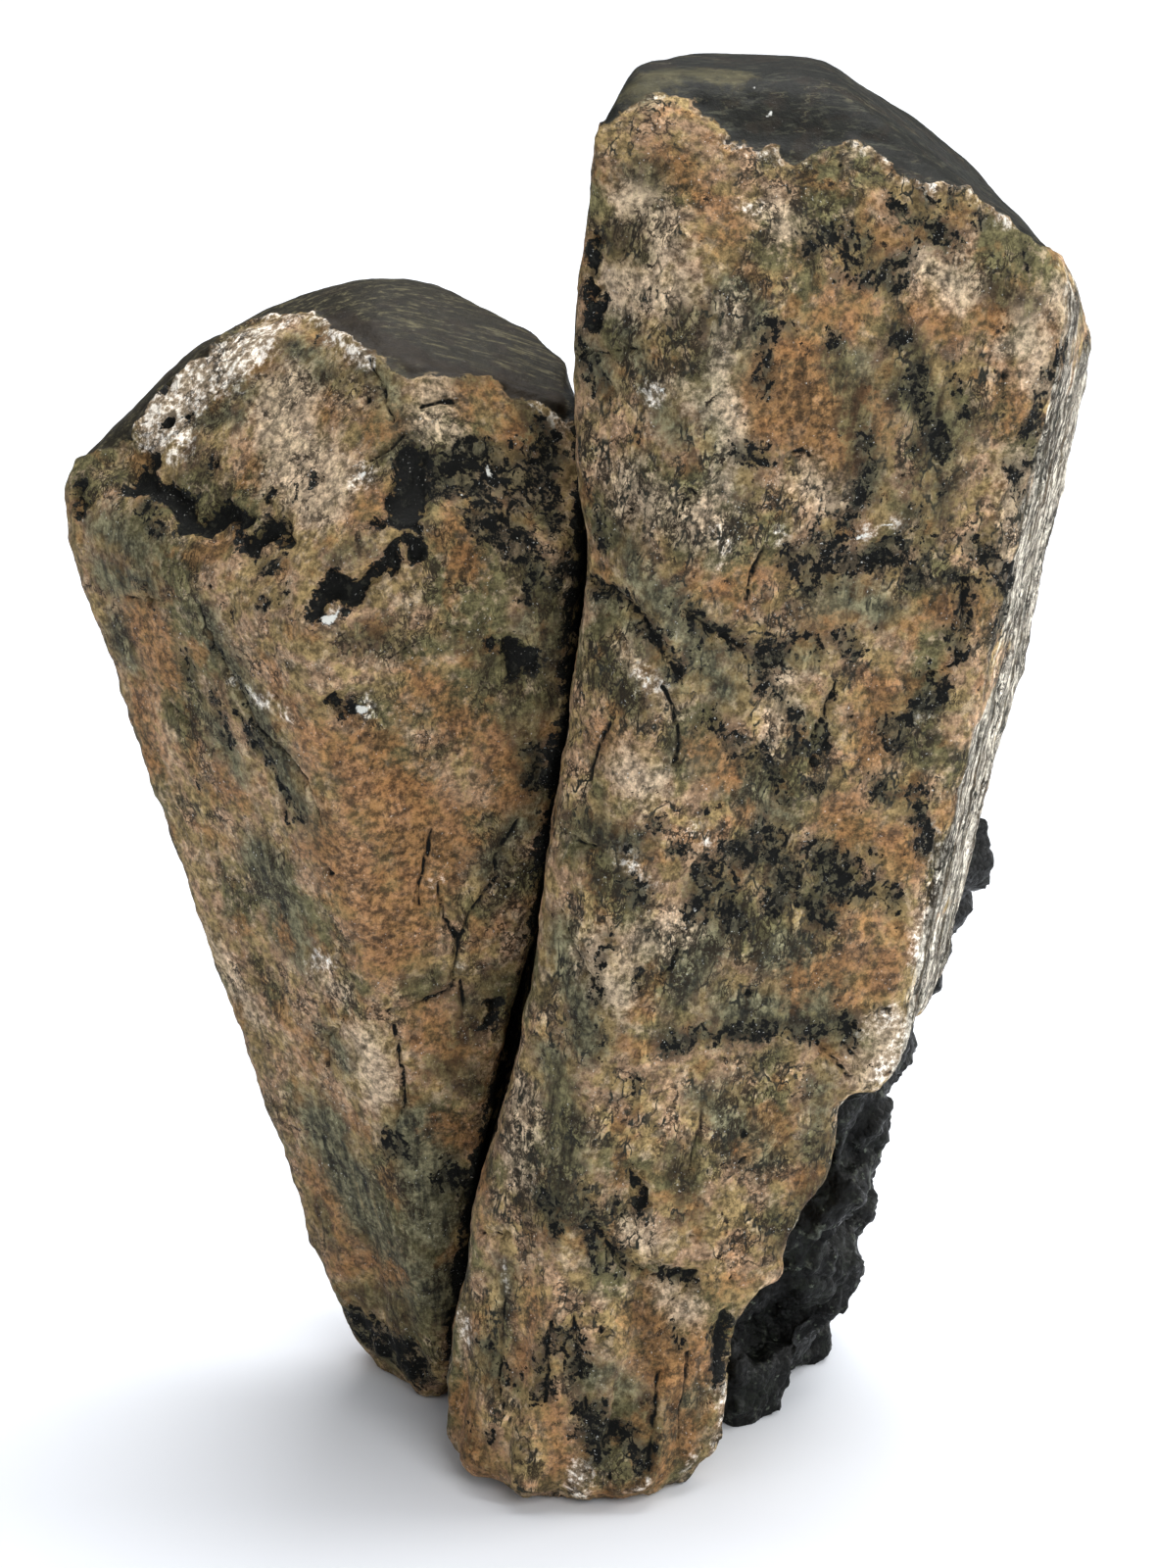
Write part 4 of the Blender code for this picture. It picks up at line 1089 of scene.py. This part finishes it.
def add(kind, inputs, **settings):
    """Adds a node; each input is a socket to link or a value to set."""
    made = bench.tree.nodes.new(kind)
    for name, value in settings.items():
        setattr(made, name, value)
    for name, value in inputs.items():
        if isinstance(value, bpy.types.NodeSocket):
            bench.tree.links.new(value, made.inputs[name])
        else:
            made.inputs[name].default_value = value
    return made


def reading(name):
    """A field stored on the skin."""
    return add("ShaderNodeAttribute", {}, attribute_name=name).outputs["Fac"]


def maths(operation, first, second=0.0, third=0.0):
    """One sum on two or three numbers."""
    inputs = {0: first, 1: second, 2: third}
    return add("ShaderNodeMath", inputs, operation=operation).outputs[0]


def scaled(value, factor, offset):
    """A number multiplied and then shifted."""
    return maths("MULTIPLY_ADD", value, factor, offset)


def part(value, amount):
    """A share made weaker."""
    return maths("MULTIPLY", value, amount)


def share(value, low, high):
    """A soft step from 0 to 1 between two values."""
    inputs = {"Value": value, "From Min": low, "From Max": high}
    made = add("ShaderNodeMapRange", inputs, interpolation_type="SMOOTHSTEP")
    return made.outputs["Result"]


print("pure white is", paint(255, 255, 255))

# %% [markdown]
# ## Noise, layers and relief
# The other helpers are the pieces of a finish: noise and cells of a size in mm, a layer laid
# over what is below it, coordinates along an axis, and a little relief.

# %% Noise, layers and relief
GRAIN_RELIEF = 0.14 * MM        # height of the finest relief


def mottle(where, size, detail=3.0, roughness=0.6):
    """Noise with lumps of a size in mm, from 0 to 1."""
    inputs = {"Vector": where, "Scale": 1.0 / size, "Detail": detail, "Roughness": roughness}
    return add("ShaderNodeTexNoise", inputs).outputs["Fac"]


def cover(amount, under, over, blend="MIX"):
    """Lays one colour over another by a share."""
    inputs = {0: amount, 6: under, 7: over}
    made = add("ShaderNodeMix", inputs, data_type="RGBA", blend_type=blend)
    return made.outputs[2]


def grey(value):
    """A number as a grey colour, for multiplying."""
    return add("ShaderNodeCombineColor", {0: value, 1: value, 2: value}).outputs[0]


def new_finish(name):
    """An empty finish on the bench, and the object's coordinates in m and in mm."""
    finish = bpy.data.materials.new(name)
    finish.use_nodes = True
    bench.tree = finish.node_tree
    own = add("ShaderNodeTexCoord", {}).outputs["Object"]
    where = add("ShaderNodeMapping", {"Vector": own, "Scale": (1 / MM,) * 3}).outputs[0]
    return finish, own, where


def along(own, axis, stretch):
    """Coordinates in mm that are squeezed along an axis, for streaks."""
    turn = axis.to_track_quat("Z", "X").to_euler()
    inputs = {"Vector": own, "Rotation": turn, "Scale": (MM, MM, stretch * MM)}
    return add("ShaderNodeMapping", inputs, vector_type="TEXTURE").outputs[0]


def completed(finish, colour, roughness, shine, height, strength):
    """Joins what was mixed to the shader, with relief that is too fine for the mesh."""
    inputs = {"Height": height, "Strength": strength, "Distance": GRAIN_RELIEF}
    relief = add("ShaderNodeBump", inputs).outputs["Normal"]
    shader = bench.tree.nodes["Principled BSDF"]
    bench.tree.links.new(colour, shader.inputs["Base Color"])
    bench.tree.links.new(roughness, shader.inputs["Roughness"])
    bench.tree.links.new(relief, shader.inputs["Normal"])
    shader.inputs["Specular IOR Level"].default_value = shine
    return finish


print("helpers ready")

# %% [markdown]
# ## The colours of the crystals
# Each colour is named once, as it looks on a screen. Pink, buff, olive and sand are the crust's
# own grains. Moss, rust, bloom and pale are clouds over it, and pale also colours small painted
# glints. Umber, slate, ash and black make the dark mineral. The painted glint is a painted
# highlight, a bright face catching the light, and the light side colour of the tall crystal is
# pale streaks made brighter as a painted sheen.

# %% Name the crystals' colours
PINK = paint(161, 132, 104)
BUFF = paint(139, 119, 81)
OLIVE = paint(102, 96, 66)
SAND = paint(182, 161, 133)
MOSS = paint(115, 111, 86)
SLATE = paint(44, 44, 37)
ASH = paint(88, 85, 68)
RUST = paint(136, 97, 60)
DEEP_RUST = paint(102, 74, 50)
BLOOM = paint(188, 168, 142)
# Pale crust, and also the colour of small painted glints.
PALE_AND_GLINT = paint(232, 225, 214)
UMBER = paint(40, 33, 25)
BLACK = paint(14, 15, 13)
# The colour of painted glints, a painted highlight.
PAINTED_GLINT = paint(225, 225, 218)
# The tall crystal's light side threads are pale streaks made brighter, as a painted sheen.
TALL_SIDE_AND_SHEEN = (paint(66, 61, 51), paint(204, 198, 184))       # dark and light
SHORT_SIDE = (paint(54, 55, 43), paint(128, 110, 78))
TALL_TOP = (paint(22, 23, 19), paint(70, 70, 58))
SHORT_TOP = (paint(38, 35, 26), paint(116, 109, 82))
print("palest and darkest red shares:", round(PALE_AND_GLINT[0], 3), round(BLACK[0], 4))

# %% [markdown]
# ## The noises of a crystal
# One set of noises serves every layer, so that light grains, dark grains and relief agree. It
# runs from grains of a seventh of a millimetre to clouds of five. Streaks are noise squeezed
# along the crystal. Crumpled coordinates turn round cells into slivers, and a thread is the
# line where a noise passes its middle value.

# %% Noises of a crystal


def warped(where, amount):
    """Coordinates pushed about by noise, so that cells come out as crumpled slivers."""
    push = add("ShaderNodeTexNoise", {"Vector": where, "Scale": 0.9, "Detail": 3.0})
    push = add("ShaderNodeVectorMath", {0: push.outputs["Color"], 1: (0.5, 0.5, 0.5)},
               operation="SUBTRACT").outputs[0]
    push = add("ShaderNodeVectorMath", {0: push, "Scale": amount}, operation="SCALE").outputs[0]
    return add("ShaderNodeVectorMath", {0: where, 1: push}, operation="ADD").outputs[0]


def threads(where, size, width):
    """Thin wandering lines: where noise passes its middle value."""
    noise = mottle(where, size, 5.0, 0.62)
    away = maths("ABSOLUTE", maths("SUBTRACT", noise, 0.5))
    return share(away, width, 0.3 * width)


def crystal_noises(own, where, axis):
    """The coordinates and noises that all layers of a crystal's finish draw on."""
    fine = mottle(where, 0.42, 4.0, 0.7)
    small = mottle(where, 0.9, 4.0, 0.7)
    middling = mottle(where, 1.5, 4.0, 0.6)
    streaks = mottle(along(own, axis, 9.0), 0.55, 3.0, 0.6)
    return SimpleNamespace(
        own=own, where=where, fine=fine, small=small, middling=middling, streaks=streaks,
        tiny=mottle(where, 0.14, 2.0),
        broad=mottle(where, 5.0, 2.0),
        streaky=part(maths("ADD", streaks, small), 0.5),
        lively=share(mottle(where, 3.4, 3.0), 0.40, 0.56),
        slivers=warped(along(own, axis, 2.0), 2.4),
        fray=maths("ADD", scaled(fine, 1.3, -0.65), scaled(middling, 1.4, -0.7)),
    )


def frayed(noise, kind, amount, low, high):
    """The share of a stored field, with its edge frayed by noise."""
    return share(scaled(noise.fray, amount, reading(kind)), low, high)


print("noises are in mm, from 0.14 to 5.0")

# %% [markdown]
# ## Clouds of colour
# The crust starts as buff and pink grains with olive and sandy clouds, laid by noise alone. The
# clouds that have a place of their own come next, one for each kind of mark. Each is two-toned,
# so that it isn't a flat stain, and noise frays its edge.

# %% Lay the clouds
CLOUDS = (      # mark, dark and light, noise between them and its range, fraying, edge, strength
    ("moss", (SLATE, MOSS), "streaky", (0.38, 0.55), 2.2, (-0.9, 0.9), 1.0),
    ("rust", (DEEP_RUST, RUST), "fine", (0.30, 0.58), 2.4, (-1.1, 1.0), 0.75),
    ("bloom", (BLOOM, BLOOM), "fine", (0.0, 1.0), 2.0, (-0.8, 0.9), 0.75),
    ("umber", (UMBER, OLIVE), "streaky", (0.42, 0.58), 2.8, (-0.3, 0.6), 0.8),
    ("pale_and_glint", (BLOOM, PALE_AND_GLINT), "fine", (0.46, 0.58), 1.6, (-0.3, 0.6), 0.85),
)


def clouded(noise):
    """The crust's grains with the clouds of colour over them."""
    colour = cover(share(noise.middling, 0.42, 0.58), BUFF, PINK)
    colour = cover(share(noise.broad, 0.50, 0.62), colour, OLIVE)
    sandy = share(noise.small, 0.52, 0.64)
    colour = cover(part(sandy, 0.6), colour, SAND)
    rusty = share(mottle(noise.where, 2.4, 4.0), 0.53, 0.64)
    colour = cover(part(rusty, 0.6), colour, RUST)
    for kind, tones, between, tone_range, fraying, edge, strength in CLOUDS:
        tone = cover(share(getattr(noise, between), *tone_range), *tones)
        cloud = frayed(noise, kind, fraying, *edge)
        colour = cover(part(cloud, strength), colour, tone)
    return colour


def fluted(noise, colour, axis, side_colours):
    """Adds light and dark threads along the fluted side face; on the tall crystal the light threads
    are a painted sheen.
    """
    threadlike = mottle(along(noise.own, axis, 22.0), 0.32, 4.0, 0.7)
    side = cover(share(threadlike, 0.42, 0.58), *side_colours)
    ragged = maths("ADD", scaled(noise.streaks, 1.8, -0.9), reading("side"))
    return cover(part(share(ragged, 0.30, 0.75), 0.9), colour, side)


print("clouds of", ", ".join(cloud[0] for cloud in CLOUDS))

# %% [markdown]
# ## Grains, slivers and fine lines
# Close up, the crust is a mosaic: light and dark grains, slivers that are each a little lighter
# or darker than the next, and here and there a dark outline or a hair-thin line. The tall
# crystal shows much of this and the short one little, so it has an amount. Rusty places stay
# smooth.

# %% Lay the grains


def grained(noise, colour, veined):
    """Adds the grains, the slivers with their outlines, and the fine lines."""
    inputs = {"Vector": noise.slivers, "Scale": 1.1}
    sliver = add("ShaderNodeTexVoronoi", inputs).outputs["Color"]
    sliver = add("ShaderNodeSeparateColor", {0: sliver}).outputs[0]
    edge = add("ShaderNodeTexVoronoi", inputs, feature="DISTANCE_TO_EDGE")
    contrast = scaled(noise.lively, 0.6 * veined, 0.3)
    foil = maths("SUBTRACT", sliver, 0.5)
    light = scaled(share(noise.fine, 0.34, 0.66), 1.15, 0.42)
    light = part(light, scaled(foil, contrast, 1.0))
    light = part(light, maths("ADD", noise.tiny, 0.5))
    colour = cover(1.0, colour, grey(light), "MULTIPLY")

    rusty = frayed(noise, "rust", 2.4, -1.1, 1.0)
    busy = part(scaled(rusty, -0.7, 1.0), noise.lively)
    outlines = part(share(edge.outputs["Distance"], 0.11, 0.03), veined)
    outlines = part(outlines, share(noise.small, 0.44, 0.54))
    colour = cover(part(outlines, busy), colour, SLATE)
    lines = part(threads(noise.where, 1.7, 0.030), share(noise.middling, 0.44, 0.54))
    more_lines = part(threads(noise.slivers, 1.0, 0.040), share(noise.broad, 0.46, 0.54))
    lines = maths("MAXIMUM", lines, more_lines)
    return cover(part(lines, part(busy, 0.9)), colour, UMBER)


print("grains ready")

# %% [markdown]
# ## The bare tops
# Where the crust has come off, the crystal is nearly black with a green or brown cast, and it
# is scratched across. The scratches are noise squeezed along one direction of the top. A few
# hairs, some brown stains and a slow change of light and dark keep it from looking painted.

# %% Lay the bare top
TALL_TOP_AXIS = Vector((0.95, 0.3, -0.2)).normalized()
SHORT_TOP_AXIS = Vector((0.9, 0.1, -0.35)).normalized()


def bare_top(noise, axis, top_colours):
    """The colour of a crystal's top, scratched along an axis."""
    scratches = mottle(along(noise.own, axis, 7.0), 0.38, 5.0, 0.75)
    scratches = share(scratches, 0.50, 0.68)
    colour = cover(part(scratches, 0.75), *top_colours)
    stains = share(noise.middling, 0.50, 0.62)
    colour = cover(part(stains, 0.6), colour, UMBER)
    hairs = threads(along(noise.own, axis, 3.0), 3.2, 0.010)
    some = part(share(noise.middling, 0.46, 0.60), 0.3)
    colour = cover(part(hairs, some), colour, MOSS)
    mossy = frayed(noise, "moss", 2.0, -0.8, 0.8)
    colour = cover(part(mossy, 0.4), colour, OLIVE)
    brown = frayed(noise, "umber", 1.4, -0.3, 0.4)
    colour = cover(part(brown, 0.9), colour, UMBER)
    shade = grey(scaled(noise.small, 2.2, -0.1))
    return cover(1.0, colour, shade, "MULTIPLY")


print("scratches run along", [round(value, 2) for value in TALL_TOP_AXIS])

# %% [markdown]
# ## Black mineral, pits and cracks
# A charred patch is ash grey with black squiggles, which are the edges of crumpled cells, broken
# up by noise and thickest in the patch's middle. The same field paints shade between the ribs of
# the tall crystal's foot. Pits, solid black patches and cracks follow their fields closely,
# because the relief follows the same fields. The black field also paints the seam black, as
# painted shade between the crystals. A few tiny dots are left to noise.

# %% Lay the black mineral


def blackened(noise, colour, axis, veined):
    """Adds charred patches, dots, pits, black mineral, cracks and painted shade in seam and foot.
    """
    crumpled = warped(along(noise.own, axis, 1.6), 1.6)
    cell_edge = add("ShaderNodeTexVoronoi", {"Vector": crumpled, "Scale": 1.3},
                    feature="DISTANCE_TO_EDGE").outputs["Distance"]
    squiggles = share(scaled(noise.fray, -0.42, cell_edge), 0.15, 0.07)
    squiggles = part(squiggles, share(noise.fine, 0.42, 0.52))
    blots = scaled(reading("char_and_shade"), 0.09, noise.small)
    squiggles = maths("MAXIMUM", squiggles, share(blots, 0.54, 0.59))
    ashen = cover(share(noise.fine, 0.38, 0.56), SLATE, ASH)
    char_and_shade_share = frayed(noise, "char_and_shade", 2.0, -0.45, 0.35)
    colour = cover(part(char_and_shade_share, 0.75), colour, ashen)
    char_and_shade_share = frayed(noise, "char_and_shade", 1.6, -0.25, 0.0)
    colour = cover(part(char_and_shade_share, squiggles), colour, BLACK)

    dots = share(mottle(noise.where, 1.2, 5.0, 0.78), 0.640, 0.665)
    colour = cover(part(dots, veined), colour, UMBER)
    colour = cover(frayed(noise, "pit", 0.3, -0.04, 0.10), colour, BLACK)
    dark = cover(share(noise.fine, 0.54, 0.66), BLACK, SLATE)
    colour = cover(frayed(noise, "black", 1.5, -0.05, 0.07), colour, dark)
    return cover(frayed(noise, "crack", 0.20, -0.04, 0.05), colour, BLACK)


print("black mineral ready")

# %% [markdown]
# ## The whole crystal finish
# The layers are stacked in the order in which they formed: clouds, the fluted side with the tall
# crystal's painted sheen, grains, the bare top, black mineral, and last a few painted glints. The
# crust is matt, and the tops and the black mineral have a dull shine. The grains also lift the
# surface a little through a Bump node, which is right for relief this fine; everything larger
# is in the mesh already.

# %% Mix the crystal finish
MATT = 0.15                     # specular level; the stone has little shine


def crystal_finish(name, axis, side_colours, top_axis, top_colours, veined):
    """The finish of a crystal, with streaks along its axis and so much of it veined."""
    finish, own, where = new_finish(name)
    noise = crystal_noises(own, where, axis)
    top = frayed(noise, "top", 0.8, -0.08, 0.10)
    colour = fluted(noise, clouded(noise), axis, side_colours)
    colour = grained(noise, colour, veined)
    colour = cover(top, colour, bare_top(noise, top_axis, top_colours))
    colour = blackened(noise, colour, axis, veined)
    # Painted sparkles and glint spots: painted highlights laid into the colour.
    painted_sparks = part(share(noise.tiny, 0.67, 0.72), share(noise.middling, 0.50, 0.58))
    painted_sparks = part(painted_sparks, scaled(top, -0.6, 0.7))
    painted_flecks = frayed(noise, "painted_glint_spot", 0.35, -0.04, 0.05)
    colour = cover(maths("MAXIMUM", painted_sparks, painted_flecks), colour, PAINTED_GLINT)

    black = frayed(noise, "black", 1.5, -0.05, 0.07)
    smooth = maths("MAXIMUM", top, part(black, 0.7))
    dull = scaled(noise.fine, 0.3, 0.65)
    roughness = scaled(smooth, -0.24, dull)
    height = scaled(noise.tiny, 0.35, noise.fine)
    return completed(finish, colour, roughness, MATT, height, scaled(top, -0.45, 0.85))


tall.data.materials.append(crystal_finish(
    "tall crystal crust", TALL_AXIS, TALL_SIDE_AND_SHEEN, TALL_TOP_AXIS, TALL_TOP, veined=1.0))
short.data.materials.append(crystal_finish(
    "short crystal crust", SHORT_AXIS, SHORT_SIDE, SHORT_TOP_AXIS, SHORT_TOP, veined=0.45))
print("finishes:", [tall.active_material.name, short.active_material.name])

# %% [markdown]
# ## The rock finish
# The ore is nearly black, with a greenish cast. The crests that the relief stored are painted
# greyer, a painted highlight where ridges catch the light, and cells pick out single grains
# whose broken faces get small dull painted glints. The cells also give each grain its own gloss.

# %% Mix the rock finish
ORE = paint(9, 10, 9)
ORE_GREEN = paint(24, 28, 22)
# The next two colours are painted highlights: the crests and the glints.
ORE_CREST_HIGHLIGHT = paint(108, 113, 100)
ORE_PAINTED_GLINT = paint(88, 94, 84)
ORE_GRAIN = 0.28                # mm
ORE_SHINE = 0.18                # specular level


def rock_finish():
    """Black ore with painted highlights on its crests and dull painted glints."""
    finish, _, where = new_finish("black ore")
    fine = mottle(where, 0.35, 4.0, 0.7)
    lumps = mottle(where, 1.6, 3.0)
    grains = add("ShaderNodeTexVoronoi", {"Vector": where, "Scale": 1.0 / ORE_GRAIN})
    pick = add("ShaderNodeSeparateColor", {0: grains.outputs["Color"]}).outputs[0]
    colour = cover(share(lumps, 0.46, 0.68), ORE, ORE_GREEN)
    colour = cover(share(fine, 0.55, 0.40), colour, ORE)
    # Painted highlight: the crests are painted greyer.
    crest_highlight = scaled(fine, 0.35, reading("ridge"))
    crest_highlight = part(share(crest_highlight, 0.40, 0.58), 0.9)
    colour = cover(crest_highlight, colour, ORE_CREST_HIGHLIGHT)
    # Painted glints: single grains painted lighter, as painted highlights.
    painted_glints = part(maths("GREATER_THAN", pick, 0.95), share(fine, 0.50, 0.62))
    colour = cover(painted_glints, colour, ORE_PAINTED_GLINT)
    height = scaled(grains.outputs["Distance"], -0.6, fine)
    return completed(finish, colour, scaled(pick, 0.45, 0.3), ORE_SHINE, height, 0.8)


rock.data.materials.append(rock_finish())
print("finish:", rock.active_material.name)

# %% [markdown]
# ## Putting the stones in place of the solids
# Each stone stands for its imported solid and rides on the one body that the specimen has. The
# faces are smooth-shaded, because the grid is fine enough to carry the detail.

# %% Finish
STANDS_FOR = {
    tall: ("tall_crystal", "tall_crystal"),
    short: ("short_crystal", "short_crystal"),
    rock: ("black_matrix", "black_matrix"),
}

for stone, (node, slot) in STANDS_FOR.items():
    nothing_selected()
    stone.select_set(True)
    bpy.context.view_layer.objects.active = stone
    bpy.ops.object.shade_smooth()
    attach(stone, "root")
    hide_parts(node)
